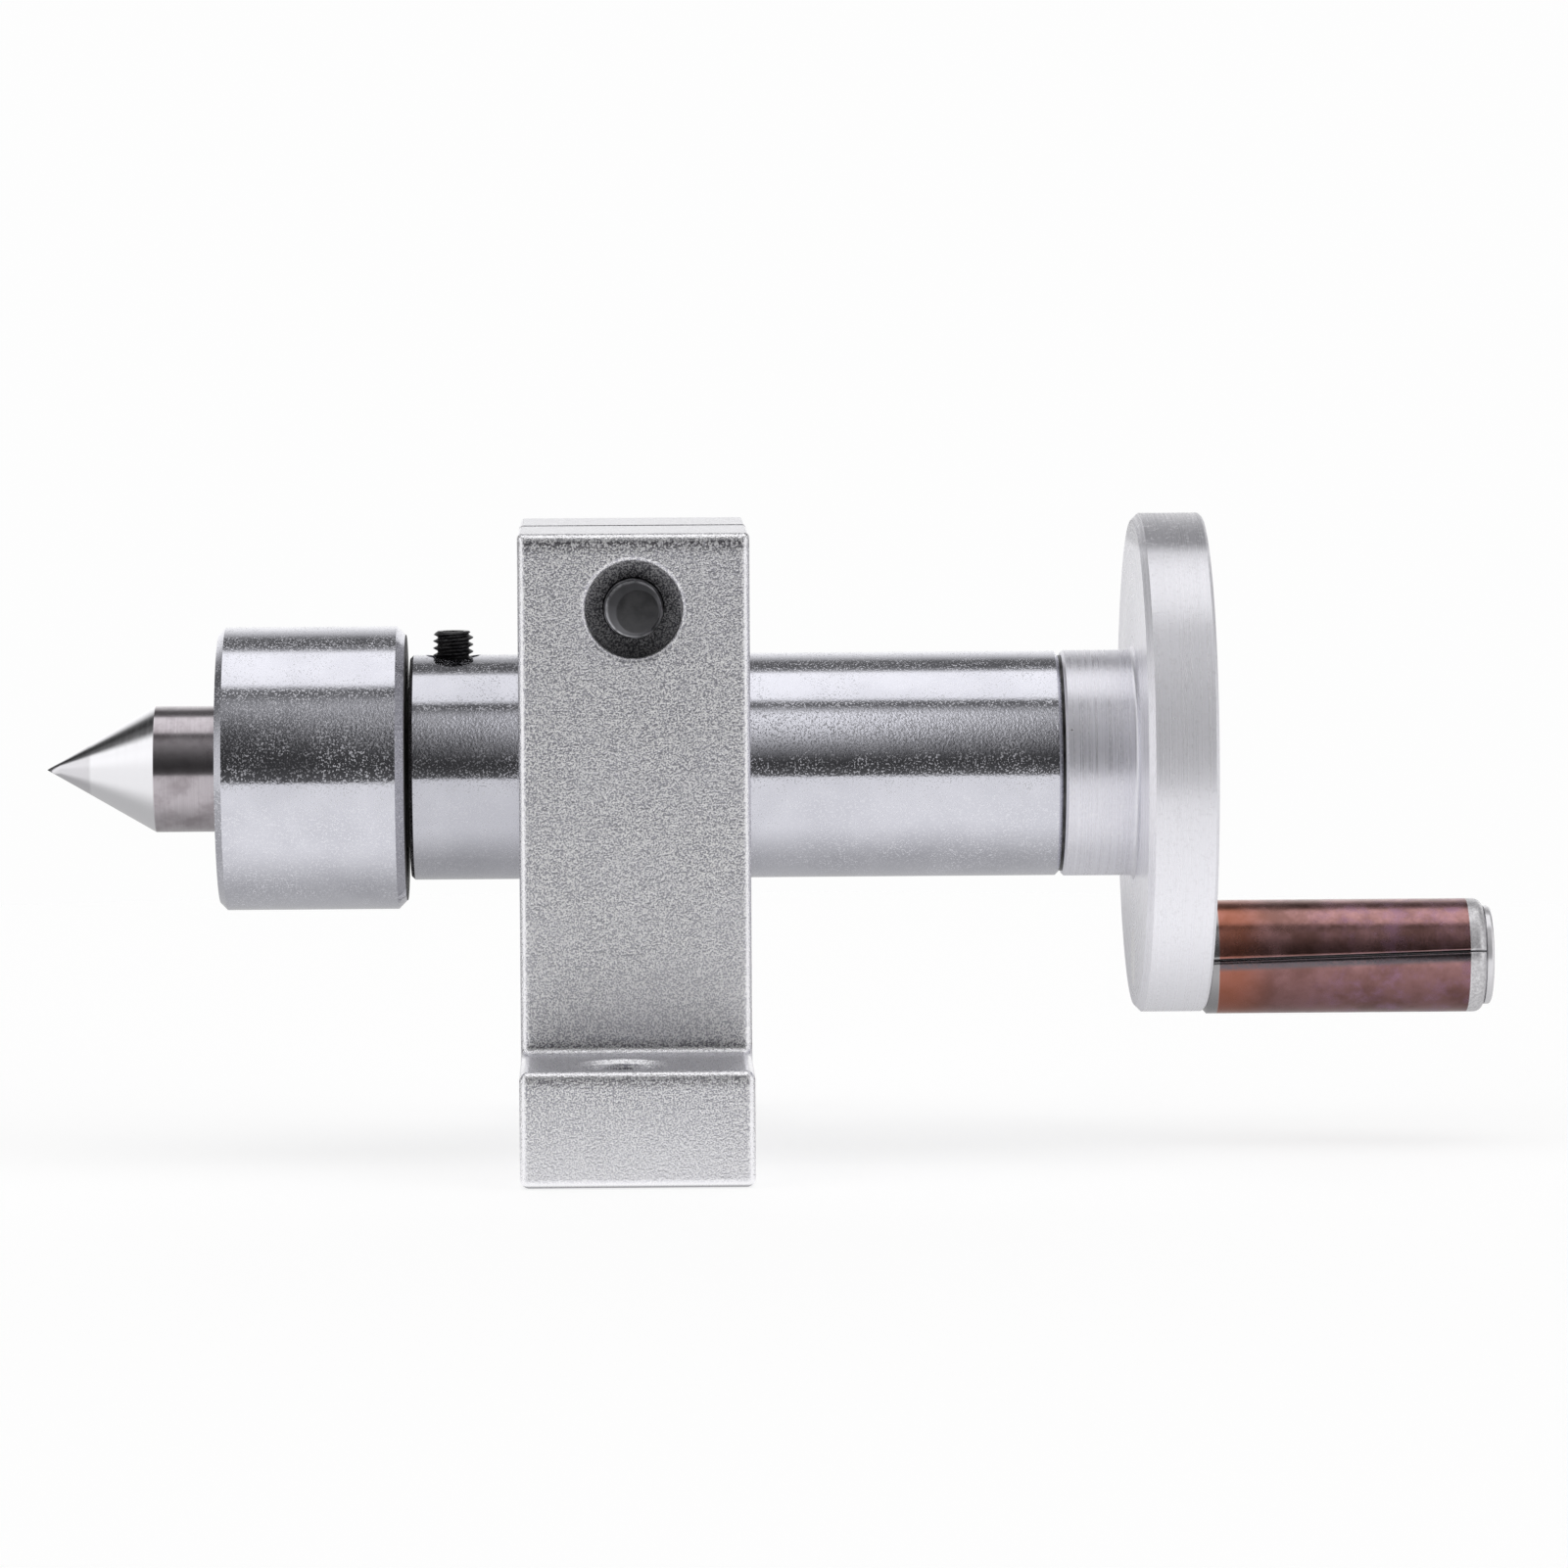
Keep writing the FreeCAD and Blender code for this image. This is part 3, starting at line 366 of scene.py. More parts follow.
def turned_aluminium():
    """Handwheel: bright turned aluminium, satin on the hub and nearly matt on the
    rim, with rings, scuffs and small pits."""
    ring_low, ring_high, patched = (0.76, 0.755, 0.815), (0.87, 0.865, 0.925), (0.66, 0.65, 0.685)
    scuffed, rim, rim_scuffed = (0.93, 0.92, 0.95), (0.955, 0.95, 1.0), (0.72, 0.71, 0.75)
    lower_rim_shade, top_band_grey, pit_floor = (0.70, 0.695, 0.74), (0.38, 0.375, 0.41), (0.30, 0.29, 0.30)
    material, tree, shader = new_material("turned_aluminium_skin")
    here = place_of(tree)
    height = part_of(tree, here, 2)
    radius = turned_place(tree, here, AXIS_Z)[1]
    rings = tool_marks(tree, here, AXIS_Z, 0.16 * MM, 0.45)
    broad = tool_marks(tree, here, AXIS_Z, 0.9 * MM, 0.12)
    patch = noise(tree, here, 5 * MM, 4.0, 0.6)
    scuff = spread(tree, noise(tree, here, 0.5 * MM, 3.0, 0.7), 0.52, 0.66)
    specks = add(tree, "TexVoronoi", {"Vector": here, "Scale": 1.0 / (1.7 * MM)})
    pit = times(tree, fade(tree, specks.outputs["Distance"], 0.05, 0.09),
                spread(tree, patch, 0.56, 0.60))
    on_rim = spread(tree, radius, 11.6 * MM, 13 * MM)
    tone = blend(tree, spread(tree, rings, *WIDE), ring_low, ring_high)
    tone = blend(tree, spread(tree, patch, 0.50, 0.72, 0.0, 0.35), tone, patched)
    tone = blend(tree, times(tree, scuff, 0.35), tone, scuffed)
    tone = blend(tree, times(tree, on_rim, 0.78), tone, rim)
    tone = blend(tree, times(tree, on_rim, scuff, 0.3), tone, rim_scuffed)
    # painted shade: the rim darker towards the bottom
    low_rim_shade = fade(tree, height, WHEEL_LOW.z + 2 * MM, WHEEL_LOW.z + 12 * MM, 0.35)
    tone = blend(tree, low_rim_shade, tone, lower_rim_shade)
    # a grey band near the top of the rim, broken up by the scuffs
    top_band = times(tree, spread(tree, height, WHEEL_HIGH.z - 3.6 * MM, WHEEL_HIGH.z - 2.4 * MM),
                    spread(tree, scuff, 0.0, 1.0, 0.75, 0.35))
    tone = blend(tree, top_band, tone, top_band_grey)
    colour = blend(tree, pit, tone, pit_floor)
    normal = bump(tree, rings, 0.005 * MM, bump(tree, broad, 0.008 * MM))
    normal = bump(tree, scuff, 0.006 * MM, normal)
    normal = bump(tree, minus(tree, 1.0, pit), 0.05 * MM, normal)
    finish_surface(tree, shader, colour, spread(tree, rings, *WIDE, 0.24, 0.38), normal,
                   metallic=spread(tree, on_rim, 0.0, 1.0, 0.56, 0.38))
    return material


def point_steel():
    """Center point: bright ground cone, greyer used tip, warm tinted shank."""
    ground, used_grey = (0.80, 0.795, 0.82), (0.66, 0.65, 0.675)
    tint_low, tint_high, ring_dark = (0.47, 0.435, 0.46), (0.33, 0.295, 0.315), (0.26, 0.24, 0.26)
    material, tree, shader = new_material("point_steel_skin")
    here = place_of(tree)
    station = part_of(tree, here, 0)
    rings = tool_marks(tree, here, AXIS_Z, 0.14 * MM, 0.6)
    used = fade(tree, station, POINT_LOW.x + 4.2 * MM, POINT_LOW.x + 4.6 * MM)
    cone = blend(tree, used, ground, used_grey)
    stain = spread(tree, noise(tree, here, 3 * MM, 4.0, 0.6), 0.4, 0.7)
    shank = blend(tree, stain, tint_low, tint_high)
    behind = spread(tree, station, CONE_END - 0.1 * MM, CONE_END + 0.1 * MM)
    colour = blend(tree, behind, cone, shank)
    ringed = times(tree, behind, spread(tree, rings, 0.35, 0.75, 0.0, 0.22))
    colour = blend(tree, ringed, colour, ring_dark)
    finish_surface(tree, shader, colour, spread(tree, rings, *WIDE, 0.14, 0.20),
                   bump(tree, rings, 0.0009 * MM))
    return material


def copper_flash():
    """Rolled handle sleeve: thin copper wash with heat tints, bare steel at both
    ends, and a dark stain beside the seam."""
    wash_low, wash_high = (0.22, 0.112, 0.098), (0.41, 0.222, 0.225)
    under_side, warm = (0.14, 0.066, 0.066), (0.36, 0.115, 0.060)
    violet_tint, stain = (0.33, 0.185, 0.300), (0.15, 0.13, 0.145)
    steel_low, steel_high, dim_steel = (0.58, 0.57, 0.59), (0.84, 0.83, 0.85), (0.34, 0.335, 0.345)
    material, tree, shader = new_material("copper_flash_skin")
    here = place_of(tree)
    station, radius, angle = turned_place(tree, here, HANDLE_Z)
    cloud = noise(tree, here, 5 * MM, 5.0, 0.65)
    veil = noise(tree, here, 2.2 * MM, 4.0, 0.6)
    fine = noise(tree, here, 0.3 * MM, 3.0, 0.65)
    wash = blend(tree, spread(tree, cloud, *MIDST), wash_low, wash_high)
    wash = blend(tree, fade(tree, angle, -0.25, 0.05, 0.55), wash, under_side)
    near_wheel = fade(tree, station, SLEEVE_LOW.x + 2.5 * MM, SLEEVE_LOW.x + 7.5 * MM)
    wash = blend(tree, times(tree, near_wheel, 0.62), wash, warm)
    violet = times(tree, spread(tree, veil, 0.42, 0.76),
                   spread(tree, station, SLEEVE_LOW.x + 8 * MM, SLEEVE_LOW.x + 15 * MM), 0.60)
    wash = blend(tree, violet, wash, violet_tint)
    below = minus(tree, seam_angle_node(tree, station), angle)
    beside_seam = times(tree, fade(tree, below, 0.13, 0.22), spread(tree, below, -0.05, -0.02),
                        spread(tree, fine, 0.3, 0.6, 0.7, 1.0))
    wash = blend(tree, beside_seam, wash, stain)
    bare_front = fade(tree, station, SLEEVE_LOW.x + 1.2 * MM, SLEEVE_LOW.x + 1.35 * MM)
    bare_rear = spread(tree, station, SLEEVE_HIGH.x - 1.75 * MM, SLEEVE_HIGH.x - 1.6 * MM)
    inside = fade(tree, radius, SLEEVE_OUTER - 0.9 * MM, SLEEVE_OUTER - 0.6 * MM)
    steel = blend(tree, spread(tree, fine, *WIDE), steel_low, steel_high)
    steel = blend(tree, bare_front, steel, dim_steel)
    colour = blend(tree, largest(tree, bare_front, bare_rear, inside), wash, steel)
    rough = plus(tree, spread(tree, veil, *WIDE, 0.17, 0.30), times(tree, bare_rear, 0.10))
    scratches = tool_marks(tree, here, HANDLE_Z, 0.2 * MM, 2.0)
    normal = bump(tree, scratches, 0.002 * MM, bump(tree, fine, 0.006 * MM))
    finish_surface(tree, shader, colour, rough, normal,
                   metallic=spread(tree, bare_rear, 0.0, 1.0, 1.0, 0.45))
    return material


def black_oxide():
    """Black-oxide screws: near black, a little brown, rubbed in specks, and worn grey
    on the clamp screw's point, with a painted reflection on its chamfer and painted highlights on
    its rim."""
    black, brown, rubbed = (0.022, 0.022, 0.024), (0.075, 0.073, 0.075), (0.20, 0.19, 0.19)
    worn_low, worn_high = (0.06, 0.06, 0.065), (0.11, 0.11, 0.115)
    painted_slope_reflection, painted_rim_highlight = (0.14, 0.14, 0.15), (0.60, 0.60, 0.63)
    material, tree, shader = new_material("black_oxide_skin", metallic=0.75)
    here = place_of(tree)
    cloud = noise(tree, here, 1.4 * MM, 4.0, 0.6)
    fine = noise(tree, here, 0.14 * MM, 3.0, 0.7)
    colour = blend(tree, spread(tree, cloud, *MIDST), black, brown)
    colour = blend(tree, spread(tree, fine, 0.66, 0.78), colour, rubbed)
    from_point = minus(tree, part_of(tree, here, 1), CLAMP_SCREW_TIP_Y)
    worn = fade(tree, from_point, 1.2 * MM, 1.6 * MM)
    colour = blend(tree, times(tree, worn, 0.75), colour,
                   blend(tree, cloud, worn_low, worn_high))
    # a painted reflection on the point's chamfer
    slope = times(tree, worn, spread(tree, from_point, 0.01 * MM, 0.05 * MM))
    colour = blend(tree, slope, colour, painted_slope_reflection)
    # painted highlights, broken up by the cloud, on the rim of the chamfer
    rim = times(tree, slope, spread(tree, from_point, 0.17 * MM, 0.23 * MM),
                spread(tree, cloud, 0.38, 0.56, 0.15, 1.0))
    colour = blend(tree, rim, colour, painted_rim_highlight)
    finish_surface(tree, shader, colour, spread(tree, cloud, *WIDE, 0.30, 0.46),
                   bump(tree, fine, 0.006 * MM))
    return material


def turned_steel():
    """Small turned parts; the handle pin's end, riveted flush in the wheel, is as
    pale as the wheel."""
    steel_low, steel_high = (0.56, 0.555, 0.57), (0.74, 0.735, 0.75)
    wheel_pale, head_pale = (0.97, 0.955, 0.99), (0.86, 0.85, 0.88)
    material, tree, shader = new_material("turned_steel_skin")
    here = place_of(tree)
    station = part_of(tree, here, 0)
    blotch = noise(tree, here, 6 * MM, 4.0, 0.6)
    fine = noise(tree, here, 0.22 * MM, 3.0, 0.65)
    marks = tool_marks(tree, here, HANDLE_Z, 0.12 * MM)
    colour = blend(tree, spread(tree, blotch, *MIDST), steel_low, steel_high)
    flush = near(tree, station, WHEEL_FACE, 0.02 * MM, 0.05 * MM)
    colour = blend(tree, flush, colour, wheel_pale)
    head = spread(tree, station, SLEEVE_HIGH.x, SLEEVE_HIGH.x + 0.05 * MM, 0.0, 0.9)
    colour = blend(tree, head, colour, head_pale)
    normal = bump(tree, marks, 0.004 * MM, bump(tree, fine, 0.003 * MM))
    finish_surface(tree, shader, colour, spread(tree, fine, *WIDE, 0.14, 0.26), normal,
                   metallic=spread(tree, largest(tree, flush, head), 0.0, 1.0, 1.0, 0.42))
    return material


def cage_nylon():
    """Moulded ball cage: dull amber nylon with a light mould texture."""
    amber_low, amber_high = (0.30, 0.17, 0.07), (0.42, 0.25, 0.11)
    material, tree, shader = new_material("cage_nylon_skin", metallic=0.0)
    here = place_of(tree)
    cloud = noise(tree, here, 2 * MM, 3.0, 0.6)
    fine = noise(tree, here, 0.2 * MM, 2.0, 0.5)
    finish_surface(tree, shader, blend(tree, cloud, amber_low, amber_high),
                   spread(tree, fine, *WIDE, 0.42, 0.58), bump(tree, fine, 0.006 * MM))
    return material


# slots with their own material
SKINS = {
    "blasted_aluminium": blasted_aluminium,
    "ground_steel": ground_steel,
    "turned_aluminium": turned_aluminium,
    "point_steel": point_steel,
    "copper_flash": copper_flash,
    "black_oxide": black_oxide,
    "cage_nylon": cage_nylon,
    "turned_steel": turned_steel,
}
# slots of plain metal: light and dark colour, roughness, size and depth of the
# grain, and the height of the axis its tool marks run round
PLAIN_METALS = {
    "bearing_steel": ((0.66, 0.66, 0.69), (0.57, 0.57, 0.60), (0.12, 0.20),
                      0.20 * MM, 0.0015 * MM, AXIS_Z),
    "ball_steel": ((0.74, 0.74, 0.76), (0.68, 0.68, 0.71), (0.05, 0.09),
                   0.15 * MM, 0.0004 * MM, None),
    "bronze": ((0.62, 0.42, 0.20), (0.45, 0.28, 0.12), (0.26, 0.40),
               0.25 * MM, 0.004 * MM, AXIS_Z),
}


# ---------------------------------------------------------------------------
# Mesh helpers
# ---------------------------------------------------------------------------
def swept(name, rows, columns, matrix):
    """A mesh of rows round a local Z axis. A row is (height, radius), and the radius
    may be a function of the angle. A radius of 0 closes the mesh in one point."""
    points, faces, ring_of = [], [], []
    for height, radius in rows:
        if not callable(radius) and radius <= 0:
            ring_of.append([len(points)] * columns)
            points.append((0.0, 0.0, height))
            continue
        ring_of.append(list(range(len(points), len(points) + columns)))
        for k in range(columns):
            angle = TURN * k / columns
            r = radius(angle) if callable(radius) else radius
            points.append((r * math.cos(angle), r * math.sin(angle), height))
    for lower, upper in zip(ring_of, ring_of[1:]):
        for k in range(columns):
            n = (k + 1) % columns
            corner = []
            for v in (lower[k], lower[n], upper[n], upper[k]):
                if v not in corner:
                    corner.append(v)
            if len(corner) > 2:
                faces.append(corner)
    return mesh_object(name, points, faces, matrix)


def mesh_object(name, points, faces, matrix, sharp=38):
    """A smooth shaded mesh whose edges stay sharp where they turn by more degrees."""
    mesh = bpy.data.meshes.new(name)
    mesh.from_pydata([matrix @ Vector(p) for p in points], [], faces)
    mesh.validate()
    mesh.update()
    mesh.shade_smooth()
    mesh.set_sharp_from_angle(angle=math.radians(sharp))
    piece = bpy.data.objects.new(name, mesh)
    bpy.context.scene.collection.objects.link(piece)
    return piece


def hand_in(piece, skin, body, node):
    """Give a new piece its material and its body, and hide the CAD node it stands for."""
    piece.data.materials.append(skin)
    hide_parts(node)
    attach(piece, body)


# ---------------------------------------------------------------------------
# Screws with real helical threads
# ---------------------------------------------------------------------------
THREAD_DEPTH = 0.6134           # of the pitch
M4_SET = {"radius": 2.0 * MM, "pitch": 0.7 * MM, "across_flats": 2.0 * MM}
M6_CAP = {"radius": 3.0 * MM, "pitch": 1.0 * MM, "across_flats": 5.0 * MM,
          "head_radius": 5.0 * MM, "head_height": 6.0 * MM}
M5_BUTTON = {"radius": 2.5 * MM, "pitch": 0.8 * MM, "across_flats": 3.0 * MM,
             "head_radius": 4.75 * MM, "head_height": 2.75 * MM, "domed": True}
LOCK_DOG = (1.25 * MM, 2.45 * MM)       # radius and length of the lock screw's dog point
LONGEST_THREAD = 24 * MM
TIP_CONE = 0.26 * MM                    # a cap screw's tip cone, before its thread
DOME_STEPS = 9
KNURLS = 48


def thread_cut(phase):
    """Depth of a 60 degree thread from 0 at the crest to 1 at the root, for a place
    in the pitch from 0 to 1."""
    slope = abs(phase - 0.5) * 2
    return min(1.0, max(0.0, (slope - 0.125) / 0.625))


def screw_rows(length, radius, pitch, start, end, envelope, step=14):
    """Rows for a threaded shank, step rows to the pitch: thread from start to end,
    inside an envelope radius."""
    count = max(2, round(length / pitch * step))
    rows = []
    for i in range(count + 1):
        height = length * i / count
        limit = envelope(height)
        run_in = min(1.0, max(0.0, (height - start) / (0.5 * pitch)))
        run_out = min(1.0, max(0.0, (end - height) / (0.7 * pitch)))
        cut = THREAD_DEPTH * pitch * run_in * run_out

        def wall(angle, height=height, limit=limit, cut=cut):
            phase = (height / pitch - angle / TURN) % 1.0
            return min(limit, radius - cut * thread_cut(phase))
        rows.append((height, wall))
    return rows


def socket_rows(top, rim, across_flats, depth):
    """Rows that close a screw's end with a chamfered hexagon socket."""
    def flats(angle):
        side = (angle + math.pi / 6) % (math.pi / 3) - math.pi / 6
        return across_flats / 2 / math.cos(side)

    def mouth(angle):
        return max(flats(angle), across_flats * 0.54)
    return [(top, rim), (top, mouth), (top - 0.06 * across_flats, flats), (top - depth, flats),
            (top - depth - 0.14 * across_flats, 0.0)]


def screw_place(node, axis):
    """A screw's length along a row axis, and the matrix that takes local Z to that
    axis and the local origin to the screw's starting end."""
    low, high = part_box(node)
    k = [abs(c) for c in axis].index(1)
    start = (low + high) / 2
    start[k] = low[k] if axis[k] > 0 else high[k]
    turn = Vector((0, 0, 1)).rotation_difference(Vector(axis)).to_matrix().to_4x4()
    return high[k] - low[k], Matrix.Translation(start) @ turn


def grub_screw(node, axis, radius, pitch, across_flats, dog=(0.0, 0.0)):
    """A socket set screw between its CAD node's ends along a row axis. A dog point
    has a radius and a length."""
    length, place = screw_place(node, axis)
    chamfer = 0.55 * pitch
    dog_radius, dog_length = dog

    def envelope(height):
        if height < dog_length:
            return dog_radius - max(0.0, 0.2 * MM - height)
        return min(radius, radius - chamfer + height - dog_length,
                   radius - chamfer + (length - height))
    rows = [(0.0, 0.0)]
    rows += screw_rows(length, radius, pitch, dog_length, length + pitch, envelope)
    rows += socket_rows(length, radius - chamfer - 0.1 * MM, across_flats, 1.8 * MM)
    return swept(node + "_threaded", rows, 96, place)


def button_head(base, radius, height, across_flats):
    """Rows of a domed head above base, up to its socket."""
    foot, mouth = 0.3 * MM, 0.62 * across_flats
    rows = [(base, radius - 0.1 * MM), (base + foot, radius)]
    for step in range(1, DOME_STEPS):
        swing = math.pi / 2 * step / DOME_STEPS
        rows.append((base + foot + (height - foot) * math.sin(swing),
                     radius - (radius - mouth) * (1 - math.cos(swing))))
    return rows + socket_rows(base + height, mouth, across_flats, 1.9 * MM)


def knurled_head(base, radius, height, across_flats):
    """Rows of a straight knurled head above base, up to its socket."""
    top = base + height

    def knurl(angle):
        return radius - 0.09 * MM * abs((angle * KNURLS / TURN) % 1 * 2 - 1)
    rows = [(base, radius - 0.25 * MM), (base + 0.25 * MM, radius - 0.05 * MM),
            (base + 0.6 * MM, knurl), (top - 1.0 * MM, knurl),
            (top - 0.7 * MM, radius - 0.05 * MM), (top - 0.35 * MM, radius - 0.08 * MM),
            (top - 0.1 * MM, radius - 0.25 * MM)]
    return rows + socket_rows(top, radius - 0.5 * MM, across_flats, 3.0 * MM)


def cap_screw(node, axis, radius, pitch, across_flats, head_radius, head_height, domed=False):
    """A socket head screw: threaded shank whose first turn starts off centre round a
    flat point, knurled or domed head, hexagon socket."""
    whole, place = screw_place(node, axis)
    length = whole - head_height

    def envelope(height):
        return min(radius - 0.08 * MM, radius - 0.28 * MM + 0.6 * height)

    def flat(angle):
        return radius - 0.6 * pitch - 0.38 * MM + 0.18 * radius * math.cos(angle - 0.6)

    def flat_floor(angle):
        return flat(angle) - 0.05 * MM
    rows = [(0.0, 0.0), (0.0, flat_floor), (0.01 * MM, flat),
            (TIP_CONE - 0.02 * MM, radius - 0.26 * MM)]
    thread_end = min(length, LONGEST_THREAD) - 0.2 * MM
    shank = screw_rows(length - TIP_CONE, radius, pitch, 0.0, thread_end, envelope)
    rows += [(height + TIP_CONE, wall) for height, wall in shank]
    rows.append((length, radius + (0.25 if domed else 0.3) * MM))
    head = button_head if domed else knurled_head
    rows += head(length, head_radius, head_height, across_flats)
    return swept(node + "_threaded", rows, 96 if domed else 192, place)


def make_screws(skin):
    screws = (
        ("quill_lock_screw", "lock_screw", (0, 0, 1), grub_screw, {**M4_SET, "dog": LOCK_DOG}),
        ("hub_set_screw", "handwheel", (0, 1, 0), grub_screw, M4_SET),
        ("clamp_screw", "clamp_screw", (0, 1, 0), cap_screw, M6_CAP),
        ("spindle_screw", "handwheel", (1, 0, 0), cap_screw, M5_BUTTON),
    )
    for node, body, axis, make, sizes in screws:
        hand_in(make(node, axis, **sizes), skin["black_oxide"], body, node)


# ---------------------------------------------------------------------------
# Rolled handle sleeve with its butt seam
# ---------------------------------------------------------------------------
SLEEVE_INNER = 4.45 * MM
SLEEVE_CHAMFER, SLEEVE_NOSE = 0.3 * MM, 0.95 * MM     # edge at the wheel, round free end
SEAM_WIDTH = 0.16 * MM
SEAM_RISE = (0.10 * MM, 0.95 * MM)      # seam height over the handle axis, wheel end and free end
LIP_DROP, LIP_REACH = 0.16 * MM, 0.17 * MM      # how the wall bends in beside the seam
DENTS = 14
NOSE_STEPS, BODY_STEPS, STEPS_AROUND = 8, 56, 160
# shares of the way round at which the lip beside the seam is drawn
LIP_SHARES = (0.0, 0.0006, 0.0016, 0.003, 0.005)


def seam_angle(x):
    """Angle of the seam, measured from the -Y side upwards, at a station."""
    share = (x - SLEEVE_LOW.x) / (SLEEVE_HIGH.x - SLEEVE_LOW.x)
    return math.asin((SEAM_RISE[0] + (SEAM_RISE[1] - SEAM_RISE[0]) * share) / SLEEVE_OUTER)


def seam_angle_node(tree, station):
    """The same seam angle, for a material."""
    return spread(tree, station, SLEEVE_LOW.x, SLEEVE_HIGH.x,
                  seam_angle(SLEEVE_LOW.x), seam_angle(SLEEVE_HIGH.x), smooth=False)


def sleeve_stations():
    """Stations along the sleeve, and how far its wall drops there."""
    start, end = SLEEVE_LOW.x, SLEEVE_HIGH.x
    front, nose = start + SLEEVE_CHAMFER, end - SLEEVE_NOSE
    stations = [(start, SLEEVE_CHAMFER), (start + 0.1 * MM, 0.2 * MM),
                (start + 0.2 * MM, 0.1 * MM), (front, 0.0)]
    stations += [(front + (nose - front) * i / BODY_STEPS, 0.0) for i in range(1, BODY_STEPS)]
    for i in range(NOSE_STEPS + 1):
        swing = math.pi / 2 * i / NOSE_STEPS
        stations.append((nose + SLEEVE_NOSE * math.sin(swing),
                         SLEEVE_NOSE * (1 - math.cos(swing))))
    return stations


def sleeve_dents():
    """Small dents: station, angle, size and depth."""
    wobble = random.Random(7)
    return [(wobble.uniform(SLEEVE_LOW.x, SLEEVE_HIGH.x), wobble.uniform(-1.2, 1.2),
             wobble.uniform(0.6, 1.6) * MM, wobble.uniform(0.01, 0.03) * MM)
            for _ in range(DENTS)]


def sleeve_wall(x, drop, share, swing, dents):
    """Radius of the outer wall: lips that bend in at the seam, and shallow dents."""
    from_seam = min(share, 1 - share) * TURN * SLEEVE_OUTER
    radius = SLEEVE_OUTER - drop - LIP_DROP * max(0.0, 1 - from_seam / LIP_REACH) ** 2
    if drop == 0.0:
        side = (swing + math.pi) % TURN - math.pi
        for station, angle, size, depth in dents:
            away = ((x - station) ** 2 + ((side - angle) * SLEEVE_OUTER) ** 2) / size ** 2
            radius -= depth * math.exp(-away)
    return radius


def make_sleeve(skin):
    """Rings round the sleeve, each out along the outer wall and back along the inner
    one, joined into a closed skin."""
    last = LIP_SHARES[-1]
    shares = list(LIP_SHARES)
    shares += [last + (1 - 2 * last) * i / STEPS_AROUND for i in range(1, STEPS_AROUND)]
    shares += [1 - share for share in reversed(LIP_SHARES)]
    half_gap = SEAM_WIDTH / 2 / SLEEVE_OUTER
    dents = sleeve_dents()
    points, faces, rows = [], [], []
    for x, drop in sleeve_stations():
        swings = [seam_angle(x) + half_gap + (TURN - 2 * half_gap) * share for share in shares]
        outer = [(sleeve_wall(x, drop, *place, dents), place[1]) for place in zip(shares, swings)]
        inner = [(SLEEVE_INNER, swing) for swing in reversed(swings)]
        rows.append(list(range(len(points), len(points) + 2 * len(shares))))
        points += [(x, -radius * math.cos(swing), HANDLE_Z + radius * math.sin(swing))
                   for radius, swing in outer + inner]
    count = len(rows[0])
    for lower, upper in zip(rows, rows[1:]):
        for k in range(count):
            n = (k + 1) % count
            faces.append((lower[k], upper[k], upper[n], lower[n]))
    for row, flip in ((rows[0], False), (rows[-1], True)):
        for k in range(count // 2 - 1):
            quad = (row[k], row[k + 1], row[count - 2 - k], row[count - 1 - k])
            faces.append(quad[::-1] if flip else quad)
    piece = mesh_object("handle_sleeve_rolled", points, faces, Matrix.Identity(4), sharp=50)
    hand_in(piece, skin["copper_flash"], "handle", "handle_sleeve")


# ---------------------------------------------------------------------------
# Stage: floor, sky, camera
# ---------------------------------------------------------------------------
FLOOR_RADIUS, FLOOR_RINGS = 0.285, 12
FLOOR_Z = -0.02 * MM
FLOOR_GREY, FLOOR_GLOW = 0.38, 0.735    # as the camera sees it
FLOOR_FRONT, FLOOR_UNDER = 1.03, 0.55   # the floor's level as the object reflects it
FLOOR_FADE = (-31 * MM, 5 * MM)         # along Y, from the front level to the one under
PAPER = 0.985           # brightness of the backdrop as the camera sees it
SKY_TOP = 1.4           # brightest level of the sky
# elevation about the X axis in degrees, and the sky's level there
SKY_LEVELS = (
    (-90, 0.95), (-10, 0.90), (-8, 0.12), (4, 0.06), (12, 0.05), (20, 0.05), (28, 0.06),
    (36, 0.10), (45, 0.19), (54, 0.31), (60, 0.28), (66, 0.18), (71, 0.19), (76, 1.30),
    (88, 1.36), (112, 1.40), (117, 0.35), (123, 0.15), (136, 0.17), (148, 0.75),
    (160, 1.10), (180, 1.20),
)
# a tall narrow light just right of the camera: place and width across, and level
STRIP_ACROSS, STRIP_WIDTH, STRIP_LEVEL = 0.016, 0.025, 1.35


def make_floor():
    """A pale disc. Reflections see it bright in front of the object and shaded under
    and behind it."""
    rows = [(0.0, FLOOR_RADIUS * i / FLOOR_RINGS) for i in range(FLOOR_RINGS + 1)]
    floor = swept("floor", rows, 128, Matrix.Translation((0, 0, FLOOR_Z)))
    material, tree, shader = new_material("pale_floor", metallic=0.0)
    shader.inputs["Base Color"].default_value = (FLOOR_GREY, FLOOR_GREY, FLOOR_GREY, 1)
    shader.inputs["Roughness"].default_value = 1.0
    shader.inputs["Specular IOR Level"].default_value = 0.0
    shader.inputs["Emission Color"].default_value = (1, 1, 1, 1)
    shader.inputs["Emission Strength"].default_value = FLOOR_GLOW
    depth = part_of(tree, place_of(tree), 1)
    level = spread(tree, depth, *FLOOR_FADE, FLOOR_FRONT, FLOOR_UNDER)
    glow = add(tree, "Emission", {"Color": (1, 1, 1, 1), "Strength": level})
    seen = add(tree, "LightPath").outputs["Is Camera Ray"]
    mixed = add(tree, "MixShader", {0: seen, 1: glow.outputs[0], 2: shader.outputs[0]})
    tree.links.new(mixed.outputs[0], tree.nodes["Material Output"].inputs[0])
    floor.data.materials.append(material)


